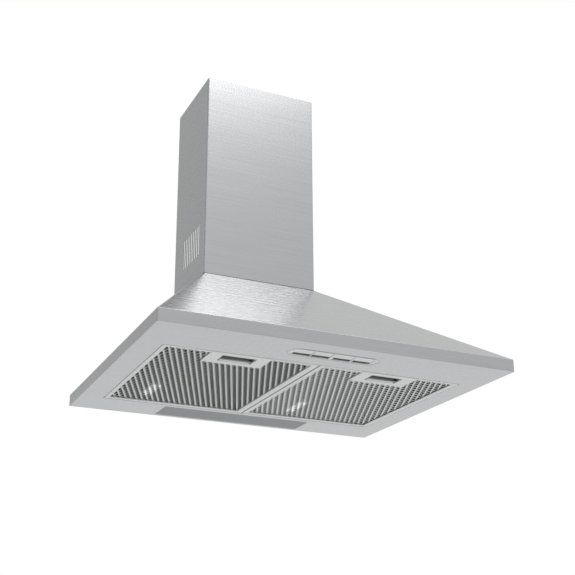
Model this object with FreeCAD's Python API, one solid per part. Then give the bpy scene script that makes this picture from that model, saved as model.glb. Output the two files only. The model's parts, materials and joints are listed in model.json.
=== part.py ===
"""Wall-mounted chimney range hood, 600 x 500 mm, with its blower, lamp, keys and grease filters.

Millimetres.  Origin: wall plane, middle of the lower rear edge.  +X right, +Z up, -Y to the cook.
"""
import FreeCAD
import Part
import math
import os

V = FreeCAD.Vector
PLUS_X, MINUS_X = V(1, 0, 0), V(-1, 0, 0)
PLUS_Y, MINUS_Y = V(0, 1, 0), V(0, -1, 0)
PLUS_Z, MINUS_Z = V(0, 0, 1), V(0, 0, -1)
LEFT, RIGHT = -1, 1

# --- hood ---
WIDTH = 600.0
DEPTH = 500.0
FASCIA = 20.0             # height of the upright band round the canopy
CANOPY_TOP = 227.5
CHIMNEY_W = 220.0
CHIMNEY_D = 165.0
CHIMNEY_TOP = 630.0       # with the upper cover pushed down into the lower one
SHEET = 1.0
SIDE_RUN = (WIDTH - CHIMNEY_W) / 2 / (CANOPY_TOP - FASCIA)
FRONT_RUN = (DEPTH - CHIMNEY_D) / (CANOPY_TOP - FASCIA)
FLANGE = 12.0             # folded edges of the sheets
FLANGE_TOP = 215.0
MITRE_REACH = 4.0         # past the sheet's thickness, for parting the canopy at its welds
SLIT = 0.2                # between sheets that slip over each other
EASY = 0.3                # clearance round what slides
OVER = 1.0                # how far a cutting tool reaches past what it cuts
TINY = 0.01

# --- chimney covers ---
UPPER_GAP = 1.0           # between the two covers
UPPER_FOOT = 340.0        # lower edge of the upper cover, pushed down: above the vent slots
UPPER_TOP = CHIMNEY_TOP - 1.0
REAR_LIP = 10.0           # covers' edges folded in along the wall
SLOT_COUNT = 9
SLOT_W = 5.0
SLOT_PITCH = 9.9
SLOT_FRONT = -132.0
SLOT_Z = (275.0, 335.0)
TAB_Z = (229.0, 243.0)
TAB_IN = 88.0
SEAT_H, SEAT_REAR = 12.0, -4.0          # three-sided strip that the lower cover drops over
SEAT_FOOT_W, SEAT_FOOT_D, SEAT_FOOT_T = 20.0, 8.0, 1.5
SEAT_FRONT_FEET, SEAT_SIDE_FEET = (-50.0, 50.0), (-140.0, -30.0)

# --- wall fixings ---
WALL_HOLE_R = 4.0
HANGER_X, HANGER_Z = 70.0, 185.0
SAFETY_X, SAFETY_Z = 240.0, 45.0
HANGER_W, HANGER_H, HANGER_T = 36.0, 40.0, 2.0
HANGER_HOLE_R = 6.0
HANGER_SCREW_INSET = 6.0
REAR_TOP = 244.0          # the rear panel's tongue inside the chimney
REAR_TONGUE = 99.0
BRACKET_Z = (598.0, 624.0)
BRACKET_HOLE_X = 60.0
BRACKET_HOLE_R = 3.25
BRACKET_T = 1.5
BRACKET_SCREW_INSET = 6.0

# --- screws ---
SHANK_R, HEAD_R, HEAD_H = 1.9, 3.6, 2.0
PANEL_SCREW_Z = (60.0, 120.0, 180.0)
UNDERSIDE_SCREW_X = (85.0, 250.0)

# --- underside ---
OPEN_X, OPEN_FRONT, OPEN_REAR = 258.8, -402.8, -77.0      # one opening for both filters
PANEL_FLANGE = 13.0
LAMP_X, LAMP_FRONT, LAMP_REAR, LAMP_CORNER = 141.5, -66.5, -7.5, 3.0

# --- grease filters: sizes of the right one, the left one mirrors it ---
FILTER_IN, FILTER_OUT = 1.5, 258.0
FILTER_FRONT, FILTER_REAR = -402.0, -79.0
FILTER_T = 9.0
RIM, RIM_INNER, RIM_T, FRAME_T = 8.0, 9.5, 2.2, 1.0
FILTER_MID = (FILTER_IN + FILTER_OUT) / 2
MESH_T = 0.8
MESH_PITCH, MESH_ROW = 20.0, 12.2       # diamonds: step along a row, step from row to row
MESH_HOLE = (15.0, 17.0)
LAYER_T = 2.0
HOOK_X, HOOK_W, HOOK_T, HOOK_END, HOOK_Z = 80.0, 30.0, 1.5, -71.5, 1.5
HANDLE_W, HANDLE_FRONT, HANDLE_REAR, HANDLE_T = 100.0, -401.0, -348.0, 1.8
BOX_W, BOX_FRONT, BOX_REAR, BOX_TOP, BOX_WALL = 96.0, -400.8, -346.5, 7.7, 1.2
POCKET_X, POCKET_FRONT, POCKET_REAR, POCKET_TOP = 28.5, -389.0, -361.0, 6.5
ARM_IN, ARM_OUT, ARM_Z = 37.0, 44.0, (2.2, 4.2)
ARM_TIP, GRIP_REAR, GRIP_T, GRIP_X, GRIP_LOW = -402.4, -361.6, 4.4, 24.0, 0.6
LATCH_TRAVEL = 6.0
RAIL_WEB, RAIL_LOW, RAIL_CAP, RAIL_LIFT, RAIL_T = 1.2, 0.8, 24.0, 10.8, 1.2
RAIL_FRONT, RAIL_REAR = OPEN_FRONT - 10.0, OPEN_REAR + 5.5

# --- keys and their well ---
WELL_W, WELL_D, WELL_Y = 154.0, 36.0, -450.0
WELL_WALL, WELL_FLANGE, WELL_FLOOR = 1.2, 4.0, (5.0, 6.2)
ISLAND_X, ISLAND_Y, ISLAND_Z, ISLAND_CORNER = (-60.0, 77.0), (-462.0, -432.8), 0.8, 5.0
NOSE_X, NOSE_CORNER, HEEL_X, HEEL_FRONT = (-74.0, -40.0), 14.0, (-77.0, -58.0), -446.0
KEY_SLOT_W, KEY_SLOT_Y = 31.0, (-459.0, -434.5)
KEY_SLOT_STARTS = (-66.0, -33.5, 3.0, 37.0)
KEY_NAMES = ("key_light", "key_speed_1", "key_speed_2", "key_speed_3")
KEY_REAR, KEY_Z, KEY_EDGE, STEM_R, STEM_TOP = -443.0, (1.4, 7.0), 0.6, 2.0, 16.0
SWITCH_X, SWITCH_Y, SWITCH_Z = (-76.0, 79.0), (-466.0, -434.0), (10.4, 28.0)
SWITCH_LEG_X, SWITCH_LEG_Y = (-67.0, 75.0), (-458.0, -442.0)
STEM_BORE_R, STEM_BORE_TOP = 2.25, 20.4

# --- lamp ---
TRAY_X, TRAY_FRONT, TRAY_REAR, TRAY_TOP, TRAY_T = 146.0, -70.0, -4.0, 24.0, 0.8
COVER_GAP, COVER_T, COVER_WALL, COVER_INSET, COVER_TOP = 0.7, 1.8, 1.5, 2.3, 9.0
COVER_CORNER = 3.5
COVER_PIVOT_Y, COVER_PIVOT_Z = -12.5, 4.0
COVER_PIN_R, COVER_BORE_R, COVER_BOSS_R, COVER_EYE_W = 1.5, 1.55, 3.0, 4.5
COVER_PIN_X = 133.0
BOARD_X, BOARD_W, BOARD_D, BOARD_T = 70.0, 60.0, 28.0, 1.6
LED_SIDE, LED_H, LED_COUNT, LED_PITCH = 5.0, 1.2, 3, 18.0
DRIVER_X, DRIVER_Y, DRIVER_H = (-110.0, -40.0), (-55.0, -15.0), 18.0

# --- blower ---
FAN_Y, FAN_Z = -108.0, 122.0
HOUSING_W, HOUSING_T = 150.0, 1.5
TONGUE_ANGLE, TONGUE_R, SCROLL_R = 135.0, 58.0, 86.0
OUTLET_FRONT = -142.5
HOUSING_RIM, RIM_SHEET = 8.0, 1.5
PLATE_Z = (225.0, 226.5)
PLATE_X, PLATE_FRONT, PLATE_REAR = 108.0, -160.0, -3.0
EAR_X, EAR_END, EAR_W, EAR_Y = 94.0, 100.0, 24.0, (-130.0, -35.0)
INLET_R, INLET_RING_R, INLET_LIP, INLET_T, INLET_DEPTH = 46.0, 56.0, 1.4, 1.8, 5.0
WHEEL_R, WHEEL_W, WHEEL_DISC, WHEEL_RING = 52.0, 120.0, 2.0, 8.0
BLADES, BLADE_T, BLADE_LEAN = 32, 1.0, 30.0
BLADE_INNER, BLADE_OUTER = 44.8, 50.6
HUB_R, HUB_X = 9.0, (-12.0, 5.0)
SHAFT_R, SHAFT_X, SHAFT_BORE_R = 4.0, (-14.0, 62.0), 4.05
MOTOR_R, MOTOR_X, MOTOR_BORE_END, MOTOR_EDGE = 36.0, (8.0, 64.0), 63.0, 4.0
SPIDER_X, SPIDER_HUB_R, SPIDER_ARM_W, SPIDER_ARM_T = 79.0, 20.0, 12.0, 2.0
SPIDER_FOOT, SPIDER_SCREW_R, SPIDER_ANGLES = (56.0, 67.0), 62.0, (0.0, 120.0, 240.0)

# --- outlet ---
DUCT_Y = -CHIMNEY_D / 2
COLLAR_R, COLLAR_T, COLLAR_TOP = 60.0, 1.2, 268.5
COLLAR_FLANGE_R, COLLAR_FLANGE_T = 64.5, 1.5
COLLAR_TAB_X, COLLAR_TAB_Y, COLLAR_SCREW = 76.0, 18.0, (70.0, 11.0)
TOP_OPEN_X, TOP_OPEN_FRONT, TOP_OPEN_REAR = 80.0, -148.0, -17.0
FLAP_Z, FLAP_R, FLAP_T, FLAP_EDGE = 240.0, 57.0, 1.0, 3.2
PIN_R, PIN_X, KNUCKLE_R, KNUCKLE_BORE_R = 1.5, 58.0, 2.6, 1.55
LUG_X, LUG_HALF, LUG_CLEAR = 54.0, 4.0, (10.0, 6.0)
FRONT_KNUCKLES = ((-50.0, -30.0), (5.0, 25.0))
REAR_KNUCKLES = ((-28.0, -8.0), (27.0, 47.0))

# --- electrics ---
TERMINAL_X, TERMINAL_Y, TERMINAL_Z, TERMINAL_T = (120.0, 190.0), (-44.0, -1.0), (60.0, 120.0), 1.5
LID_T = 1.5
CAPACITOR_R, CAPACITOR_X = 14.0, (126.0, 184.0)
GLAND_X, GLAND_Y = 95.0, DUCT_Y
GLAND_R, GLAND_BORE_R, GLAND_NUT_R, GLAND_NUT_T, GLAND_Z = 8.0, 4.0, 11.0, 5.0, (219.0, 236.0)
CABLE_R = 3.0
MOTOR_CABLE = ((150, -25, 120), (150, -25, 160), (128, -90, 172), (118, FAN_Y, 122), (79, FAN_Y, 122))
SWITCH_CABLE = ((79, -450, 20), (272, -450, 20), (272, -30, 20), (170, -30, 20), (170, -30, 60))
LAMP_CABLE = ((-40, -35, 33), (30, -35, 33), (85, -22, 80), (120, -22, 80))


# ------------------------------------------------------------------ shapes

def box(x0, x1, y0, y1, z0, z1):
    return Part.makeBox(x1 - x0, y1 - y0, z1 - z0, V(x0, y0, z0))


def rod(x, y, z, axis, r, length):
    return Part.makeCylinder(r, length, V(x, y, z), axis)


def fuse(shapes):
    return shapes[0].fuse(list(shapes[1:])).removeSplitter()


def cut(shape, tools):
    return shape.cut(Part.makeCompound(list(tools)))


def mirrored(shape):
    return shape.mirror(V(0, 0, 0), PLUS_X)


def prism(points, vector):
    """A flat polygon pushed along vector."""
    return Part.Face(Part.makePolygon(points + points[:1])).extrude(vector)


def rounded(x0, x1, y0, y1, r, z0, z1):
    """A plate with rounded corners; r of half its depth makes an obround."""
    kx, ky = (V(r, 0, 0), V(0, r, 0))
    corners = (V(x0, y0, z0), V(x1, y0, z0), V(x1, y1, z0), V(x0, y1, z0))
    ways = ((ky, kx), (-kx, ky), (-ky, -kx), (kx, -ky))
    bend = r * (1 - math.sqrt(0.5))
    edges, last = [], None
    for corner, (start, end) in zip(corners, ways):
        first, close = corner + start, corner + end
        inward = V(bend if corner.x == x0 else -bend, bend if corner.y == y0 else -bend, 0)
        if last is not None and last.distanceToPoint(first) > TINY:
            edges.append(Part.makeLine(last, first))
        edges.append(Part.Arc(first, corner + inward, close).toShape())
        last = close
    opening = corners[0] + ky
    if last.distanceToPoint(opening) > TINY:
        edges.append(Part.makeLine(last, opening))
    return Part.Face(Part.Wire(edges)).extrude(V(0, 0, z1 - z0))


def screw(x, y, z, way, grip):
    """A pan-head screw: its head's seat at x, y, z and its shank `grip` long along way."""
    head = Part.makeCylinder(HEAD_R, HEAD_H, V(x, y, z), -way)
    return fuse([head, Part.makeCylinder(SHANK_R, grip, V(x, y, z), way)])


def bore_x(x0, x1, y, z, r=SHANK_R):
    return rod(x0 - OVER, y, z, PLUS_X, r, x1 - x0 + 2 * OVER)


def bore_y(x, y0, y1, z, r=SHANK_R):
    return rod(x, y0 - OVER, z, PLUS_Y, r, y1 - y0 + 2 * OVER)


def bore_z(x, y, z0, z1, r=SHANK_R):
    return rod(x, y, z0 - OVER, PLUS_Z, r, z1 - z0 + 2 * OVER)


def cable(points, r=CABLE_R):
    """A tube along straight runs joined by tangent arcs, each as large as its two runs allow."""
    route = [V(*p) for p in points]
    edges, start = [], route[0]
    for before, here, after in zip(route, route[1:], route[2:]):
        back, ahead = before - here, after - here
        reach = 0.45 * min(back.Length, ahead.Length)
        back.normalize()
        ahead.normalize()
        half = ahead.getAngle(back) / 2
        radius = reach * math.tan(half)
        inward = back + ahead
        inward.normalize()
        middle = here + inward * (radius / math.sin(half) - radius)
        edges.append(Part.makeLine(start, here + back * reach))
        edges.append(Part.Arc(here + back * reach, middle, here + ahead * reach).toShape())
        start = here + ahead * reach
    edges.append(Part.makeLine(start, route[-1]))
    path = Part.Wire(edges)
    section = Part.Wire(Part.makeCircle(r, route[0], route[1] - route[0]))
    return path.makePipeShell([section], True, False)


# ------------------------------------------------------------------ canopy and rear panel

def canopy_side(z, inset=0.0):
    """Half the canopy's width at height z, `inset` square into the sheet."""
    return WIDTH / 2 - SIDE_RUN * (z - FASCIA) - inset * math.hypot(1, SIDE_RUN)


def canopy_front(z, inset=0.0):
    return -DEPTH + FRONT_RUN * (z - FASCIA) + inset * math.hypot(1, FRONT_RUN)


def pyramid(z0, z1, inset, rear):
    wires = []
    for z in (z0, z1):
        x, y = canopy_side(z, inset), canopy_front(z, inset)
        ring = [V(-x, y, z), V(x, y, z), V(x, rear, z), V(-x, rear, z)]
        wires.append(Part.makePolygon(ring + ring[:1]))
    return Part.makeLoft(wires, True, True)


def rear_flange():
    """The strip folded in along the canopy's left rear edge, just in front of the rear panel."""
    z0, z1 = FASCIA, FLANGE_TOP
    y, buried = -2 * SHEET, SHEET / 2
    points = [V(-canopy_side(z0, buried), y, z0), V(-canopy_side(z0, FLANGE), y, z0),
              V(-canopy_side(z1, FLANGE), y, z1), V(-canopy_side(z1, buried), y, z1)]
    return prism(points, V(0, SHEET, 0))


def panel_screw_places():
    places = []
    for z in PANEL_SCREW_Z:
        for side in (LEFT, RIGHT):
            places.append((side * canopy_side(z, FLANGE / 2 + SHEET), z))
    return places


def canopy_body():
    """The whole welded canopy, before it is parted along its welds."""
    under_top = CANOPY_TOP - SHEET
    outer = fuse([box(-WIDTH / 2, WIDTH / 2, -DEPTH, 0, 0, FASCIA), pyramid(FASCIA, CANOPY_TOP, 0, 0)])
    inner = fuse([box(-WIDTH / 2 + SHEET, WIDTH / 2 - SHEET, -DEPTH + SHEET, OVER, -OVER, FASCIA),
                  pyramid(FASCIA, under_top, SHEET, OVER)])
    flange = rear_flange()
    shell = fuse([outer.cut(inner), flange, mirrored(flange)])
    above = CANOPY_TOP + OVER
    holes = [box(-TOP_OPEN_X, TOP_OPEN_X, TOP_OPEN_FRONT, TOP_OPEN_REAR, under_top - OVER, above),
             box(-REAR_TONGUE, REAR_TONGUE, -SHEET, OVER, under_top - OVER, above),
             bore_z(GLAND_X, GLAND_Y, under_top, CANOPY_TOP, GLAND_R)]
    holes += [bore_y(x, -2 * SHEET, -SHEET, z) for x, z in panel_screw_places()]
    holes += [bore_z(x, y, under_top, CANOPY_TOP) for x, y in ear_places()]
    return cut(shell, holes)


def front_share():
    """The room of the front sheet: between the mitres at the fascia's and the slope's front corners."""
    reach = MITRE_REACH
    x, y = WIDTH / 2, -DEPTH
    fascia = prism([V(-x, y, 0), V(x, y, 0), V(x - reach, y + reach, 0), V(-x + reach, y + reach, 0)],
                   V(0, 0, FASCIA))
    wires = []
    for z in (FASCIA, CANOPY_TOP):
        x, y = canopy_side(z), canopy_front(z)
        inner_x, inner_y = canopy_side(z, reach), canopy_front(z, reach)
        ring = [V(-x, y, z), V(x, y, z), V(inner_x, inner_y, z), V(-inner_x, inner_y, z)]
        wires.append(Part.makePolygon(ring + ring[:1]))
    return fuse([fascia, Part.makeLoft(wires, True, True)])


def canopy_sheets():
    """The four sheets the canopy is welded from: its top, its front and its two sides."""
    body = canopy_body()
    top_room = box(-WIDTH, WIDTH, -DEPTH, OVER, CANOPY_TOP - SHEET, CANOPY_TOP + OVER)
    skirt = body.cut(top_room)
    share = front_share()
    right = skirt.cut(share).common(box(0, WIDTH, -DEPTH, OVER, 0, CANOPY_TOP))
    return {"canopy_top": body.common(top_room), "canopy_front": skirt.common(share),
            "canopy_side_left": mirrored(right), "canopy_side_right": right}


def rear_panel():
    under_top = CANOPY_TOP - SHEET
    half = [(WIDTH / 2 - SHEET, 0), (WIDTH / 2 - SHEET, FASCIA), (canopy_side(FASCIA, SHEET), FASCIA),
            (canopy_side(under_top, SHEET), under_top), (REAR_TONGUE, under_top), (REAR_TONGUE, REAR_TOP)]
    outline = [V(x, -SHEET, z) for x, z in half] + [V(-x, -SHEET, z) for x, z in reversed(half)]
    plate = prism(outline, V(0, SHEET, 0))
    screws = panel_screw_places() + hanger_screw_places() + tab_screw_places()
    screws += [(x, PANEL_FLANGE / 2) for x in underside_screw_places()]
    holes = [bore_y(x, -SHEET, 0, z) for x, z in screws]
    for side in (LEFT, RIGHT):
        holes.append(bore_y(side * HANGER_X, -SHEET, 0, HANGER_Z, WALL_HOLE_R))
        holes.append(bore_y(side * SAFETY_X, -SHEET, 0, SAFETY_Z, WALL_HOLE_R))
    return cut(plate, holes)


def hanger_screw_places():
    z = HANGER_Z - HANGER_H / 2 + HANGER_SCREW_INSET
    reach = HANGER_W / 2 - HANGER_SCREW_INSET
    return [(side * HANGER_X + way * reach, z) for side in (LEFT, RIGHT) for way in (-1, 1)]


def underside_screw_places():
    return [side * x for x in UNDERSIDE_SCREW_X for side in (LEFT, RIGHT)]


def wall_hanger(side):
    x = side * HANGER_X
    y = -SHEET - HANGER_T
    plate = box(x - HANGER_W / 2, x + HANGER_W / 2, y, -SHEET, HANGER_Z - HANGER_H / 2, HANGER_Z + HANGER_H / 2)
    holes = [bore_y(sx, y, -SHEET, sz) for sx, sz in hanger_screw_places()]
    return cut(plate, holes + [bore_y(x, y, -SHEET, HANGER_Z, HANGER_HOLE_R)])


def canopy_fasteners():
    places = panel_screw_places() + [(x, PANEL_FLANGE / 2) for x in underside_screw_places()]
    screws = [screw(x, -2 * SHEET, z, PLUS_Y, 2 * SHEET) for x, z in places]
    screws += [screw(x, -SHEET - HANGER_T, z, PLUS_Y, SHEET + HANGER_T) for x, z in hanger_screw_places()]
    return {"rear_panel_screws": screws}


# ------------------------------------------------------------------ chimney

def cover(half_width, front, rear, z0, z1):
    """A chimney cover: three walls and two narrow lips along the wall."""
    full = box(-half_width, half_width, front, rear, z0, z1)
    room = box(-half_width + SHEET, half_width - SHEET, front + SHEET, rear - SHEET, z0, z1)
    gap = box(-half_width + REAR_LIP, half_width - REAR_LIP, rear - SHEET, rear, z0, z1)
    return cut(full, [room, gap])


def vent_slots():
    slots = []
    for i in range(SLOT_COUNT):
        y = SLOT_FRONT + i * SLOT_PITCH
        slot = box(CHIMNEY_W / 2 - SHEET - OVER, CHIMNEY_W / 2 + OVER, y, y + SLOT_W, *SLOT_Z)
        slots += [slot, mirrored(slot)]
    return slots


def tab_screw_places():
    x, z = (TAB_IN + REAR_TONGUE) / 2, sum(TAB_Z) / 2
    return [(side * x, z) for side in (LEFT, RIGHT)]


def chimney_seat():
    """The strip on the canopy's top that the lower cover drops over, with small feet turned in."""
    x, y, z, top = CHIMNEY_W / 2 - SHEET - SLIT, -CHIMNEY_D + SHEET + SLIT, CANOPY_TOP, CANOPY_TOP + SEAT_H
    strip = box(-x, x, y, SEAT_REAR, z, top).cut(box(-x + SHEET, x - SHEET, y + SHEET, OVER, z, top))
    half, foot_top = SEAT_FOOT_W / 2, CANOPY_TOP + SEAT_FOOT_T
    parts = [strip]
    for middle in SEAT_FRONT_FEET:
        parts.append(box(middle - half, middle + half, y, y + SEAT_FOOT_D, z, foot_top))
    for middle in SEAT_SIDE_FEET:
        foot = box(x - SEAT_FOOT_D, x, middle - half, middle + half, z, foot_top)
        parts += [foot, mirrored(foot)]
    return fuse(parts)


def chimney_lower():
    half = CHIMNEY_W / 2
    body = cut(cover(half, -CHIMNEY_D, 0, CANOPY_TOP, CHIMNEY_TOP), vent_slots())
    tabs = [box(TAB_IN, half - SHEET / 2, -2 * SHEET, -SHEET, *TAB_Z)]
    tabs.append(mirrored(tabs[0]))
    return cut(fuse([body] + tabs), [bore_y(x, -2 * SHEET, -SHEET, z) for x, z in tab_screw_places()])


def upper_half():
    return CHIMNEY_W / 2 - SHEET - UPPER_GAP


def upper_rear():
    return -SHEET - EASY


def bracket_screw_places():
    x = upper_half() - REAR_LIP / 2 - SHEET
    heights = (BRACKET_Z[0] + BRACKET_SCREW_INSET, BRACKET_Z[1] - BRACKET_SCREW_INSET)
    return [(side * x, z) for side in (LEFT, RIGHT) for z in heights]


def chimney_upper():
    half, rear = upper_half(), upper_rear()
    body = cover(half, -CHIMNEY_D + SHEET + UPPER_GAP, rear, UPPER_FOOT, UPPER_TOP)
    holes = [bore_y(x, rear - SHEET, rear, z) for x, z in bracket_screw_places()]
    return cut(body, holes)


def chimney_wall_bracket():
    """A strip on the wall with stepped ends that lie on the upper cover's lips."""
    lip_face, thick = upper_rear() - SHEET, BRACKET_T
    end, step = upper_half() - SHEET - EASY, upper_half() - REAR_LIP - EASY
    strip = [box(-step, step, -thick, 0, *BRACKET_Z)]
    for side in (LEFT, RIGHT):
        x0, x1 = sorted((side * (step - thick), side * end))
        strip.append(box(x0, x1, lip_face - thick, lip_face, *BRACKET_Z))
        x0, x1 = sorted((side * (step - thick), side * step))
        strip.append(box(x0, x1, lip_face - thick, 0, *BRACKET_Z))
    middle = sum(BRACKET_Z) / 2
    holes = [bore_y(side * BRACKET_HOLE_X, -thick, 0, middle, BRACKET_HOLE_R) for side in (LEFT, RIGHT)]
    holes += [bore_y(x, lip_face - thick, lip_face, z) for x, z in bracket_screw_places()]
    return cut(fuse(strip), holes)


def chimney_fasteners():
    seat = upper_rear() - SHEET - BRACKET_T
    return {
        "chimney_screws": [screw(x, -2 * SHEET, z, PLUS_Y, 2 * SHEET) for x, z in tab_screw_places()],
        "bracket_screws": [screw(x, seat, z, PLUS_Y, SHEET + BRACKET_T) for x, z in bracket_screw_places()],
    }


# ------------------------------------------------------------------ underside

def underside_panel():
    x, front, rear = WIDTH / 2 - SHEET, -DEPTH + SHEET, -SHEET
    tray = box(-x, x, front, rear, 0, PANEL_FLANGE).cut(
        box(-x + SHEET, x - SHEET, front + SHEET, rear - SHEET, SHEET, PANEL_FLANGE))
    low, high = -OVER, SHEET + OVER
    holes = [box(-OPEN_X, OPEN_X, OPEN_FRONT, OPEN_REAR, low, high),
             rounded(-LAMP_X, LAMP_X, LAMP_FRONT, LAMP_REAR, LAMP_CORNER, low, high),
             well_plate(EASY, low, high)]
    holes += [bore_y(sx, -2 * SHEET, -SHEET, PANEL_FLANGE / 2) for sx in underside_screw_places()]
    return cut(tray, holes)


def filter_rail():
    """The bar between the two filters: an upright web, a cap above their edges, a foot at each end."""
    web, cap, top = RAIL_WEB / 2, RAIL_CAP / 2, RAIL_LIFT + RAIL_T
    return fuse([box(-web, web, OPEN_FRONT, OPEN_REAR, RAIL_LOW, top),
                 box(-cap, cap, RAIL_FRONT, RAIL_REAR, RAIL_LIFT, top),
                 box(-cap, cap, RAIL_FRONT, RAIL_FRONT + RAIL_T, SHEET, top),
                 box(-cap, cap, RAIL_FRONT, OPEN_FRONT, SHEET, SHEET + RAIL_T),
                 box(-cap, cap, RAIL_REAR - RAIL_T, RAIL_REAR, SHEET, top),
                 box(-cap, cap, OPEN_REAR, RAIL_REAR, SHEET, SHEET + RAIL_T)])


# ------------------------------------------------------------------ grease filters (right one)

def filter_frame():
    x0, x1, y0, y1 = FILTER_IN, FILTER_OUT, FILTER_FRONT, FILTER_REAR
    full = box(x0, x1, y0, y1, 0, FILTER_T)
    hollow = box(x0 + FRAME_T, x1 - FRAME_T, y0 + FRAME_T, y1 - FRAME_T, RIM_T, FILTER_T - FRAME_T)
    window = box(x0 + RIM_INNER, x1 - RIM, y0 + RIM, y1 - RIM, -OVER, FILTER_T + OVER)
    half = HANDLE_W / 2
    seat = box(FILTER_MID - half, FILTER_MID + half, HANDLE_FRONT, y0 + RIM + OVER, -OVER, RIM_T)
    frame = cut(full, [hollow, window, seat] + arm_slots(y0, y0 + FRAME_T))
    hooks = []
    for x in (FILTER_MID - HOOK_X, FILTER_MID + HOOK_X):
        hooks.append(box(x - HOOK_W / 2, x + HOOK_W / 2, y1 - FRAME_T, HOOK_END, HOOK_Z, HOOK_Z + HOOK_T))
    return fuse([frame] + hooks)


def arm_slots(y0, y1):
    """Where the latch's two arms pass through a wall that lies from y0 to y1."""
    z0, z1 = ARM_Z[0] - EASY, ARM_Z[1] + EASY
    return [box(x - EASY, x + ARM_OUT - ARM_IN + EASY, y0 - OVER, y1 + OVER, z0, z1)
            for x in (FILTER_MID - ARM_OUT, FILTER_MID + ARM_IN)]


def diamond(x, y, z):
    half_w, half_h = MESH_HOLE[0] / 2, MESH_HOLE[1] / 2
    points = [V(x - half_w, y, z), V(x, y - half_h, z), V(x + half_w, y, z), V(x, y + half_h, z)]
    return Part.makePolygon(points + points[:1])


def filter_mesh():
    """The expanded-metal face: rows of diamonds, every second row shifted by half a step."""
    x0, x1 = FILTER_IN + FRAME_T, FILTER_OUT - FRAME_T
    y0, y1, z = FILTER_FRONT + FRAME_T, FILTER_REAR - FRAME_T, RIM_T
    seat_x, seat_y = HANDLE_W / 2, BOX_REAR + EASY
    outline = [V(x0, y0, z), V(FILTER_MID - seat_x, y0, z), V(FILTER_MID - seat_x, seat_y, z),
               V(FILTER_MID + seat_x, seat_y, z), V(FILTER_MID + seat_x, y0, z), V(x1, y0, z),
               V(x1, y1, z), V(x0, y1, z)]
    edge_x, edge_y = RIM_INNER + MESH_HOLE[0] / 2, RIM + MESH_HOLE[1] / 2
    rows = int((y1 - y0 - 2 * edge_y) / MESH_ROW)
    columns = int((x1 - x0 - 2 * edge_x) / MESH_PITCH)
    first_y = (y0 + y1 - rows * MESH_ROW) / 2
    holes = []
    for row in range(rows + 1):
        shifted = row % 2
        for column in range(columns + 1 - shifted):
            x = FILTER_MID + (column - (columns - shifted) / 2) * MESH_PITCH
            y = first_y + row * MESH_ROW
            near_handle = abs(x - FILTER_MID) < seat_x + MESH_HOLE[0] / 2 and y < seat_y + MESH_HOLE[1] / 2
            if not near_handle:
                holes.append(diamond(x, y, z))
    face = Part.makeFace([Part.makePolygon(outline + outline[:1])] + holes, "Part::FaceMakerBullseye")
    return face.extrude(V(0, 0, MESH_T))


def filter_layers():
    """The pack of fine inner layers, as one sheet under the frame's upper edge."""
    top = FILTER_T - FRAME_T
    sheet = box(FILTER_IN + FRAME_T, FILTER_OUT - FRAME_T, FILTER_FRONT + FRAME_T, FILTER_REAR - FRAME_T,
                top - LAYER_T, top)
    half = BOX_W / 2 + EASY
    return sheet.cut(box(FILTER_MID - half, FILTER_MID + half, FILTER_FRONT, BOX_REAR + EASY, 0, top))


def filter_handle():
    """The face plate with its finger pocket, and the box behind it that guides the latch."""
    mid = FILTER_MID
    half, inner = BOX_W / 2, BOX_W / 2 - BOX_WALL
    plate = box(mid - HANDLE_W / 2, mid + HANDLE_W / 2, HANDLE_FRONT, HANDLE_REAR, 0, HANDLE_T)
    body = box(mid - half, mid + half, BOX_FRONT, BOX_REAR, HANDLE_T, BOX_TOP)
    room = box(mid - inner, mid + inner, BOX_FRONT + BOX_WALL, BOX_REAR - BOX_WALL, HANDLE_T,
               BOX_TOP - BOX_WALL)
    pocket_x = POCKET_X + BOX_WALL
    pocket = box(mid - pocket_x, mid + pocket_x, POCKET_FRONT - BOX_WALL, POCKET_REAR + BOX_WALL,
                 HANDLE_T, BOX_TOP)
    hollow = box(mid - POCKET_X, mid + POCKET_X, POCKET_FRONT, POCKET_REAR, -OVER, POCKET_TOP)
    rear = GRIP_REAR + EASY
    passage = box(mid - pocket_x - OVER, mid + pocket_x + OVER, rear - GRIP_T - LATCH_TRAVEL - 2 * EASY, rear,
                  ARM_Z[0] - EASY, ARM_Z[1] + EASY)
    shell = fuse([plate, body.cut(room), pocket])
    return cut(shell, [hollow, passage] + arm_slots(BOX_FRONT, BOX_FRONT + BOX_WALL))


def filter_latch():
    """The slider: a grip across the pocket and two bolts that reach over the panel's front edge."""
    mid = FILTER_MID
    grip = box(mid - GRIP_X, mid + GRIP_X, GRIP_REAR - GRIP_T, GRIP_REAR, GRIP_LOW, POCKET_TOP - EASY)
    bar = box(mid - ARM_OUT, mid + ARM_OUT, GRIP_REAR - GRIP_T, GRIP_REAR, *ARM_Z)
    bolts = [box(x, x + ARM_OUT - ARM_IN, ARM_TIP, GRIP_REAR, *ARM_Z) for x in (mid - ARM_OUT, mid + ARM_IN)]
    return fuse([grip, bar] + bolts)


# ------------------------------------------------------------------ keys

def well_plate(grow, z0, z1):
    half_w, half_d = WELL_W / 2 + grow, WELL_D / 2 + grow
    return rounded(-half_w, half_w, WELL_Y - half_d, WELL_Y + half_d, half_d, z0, z1)


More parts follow.
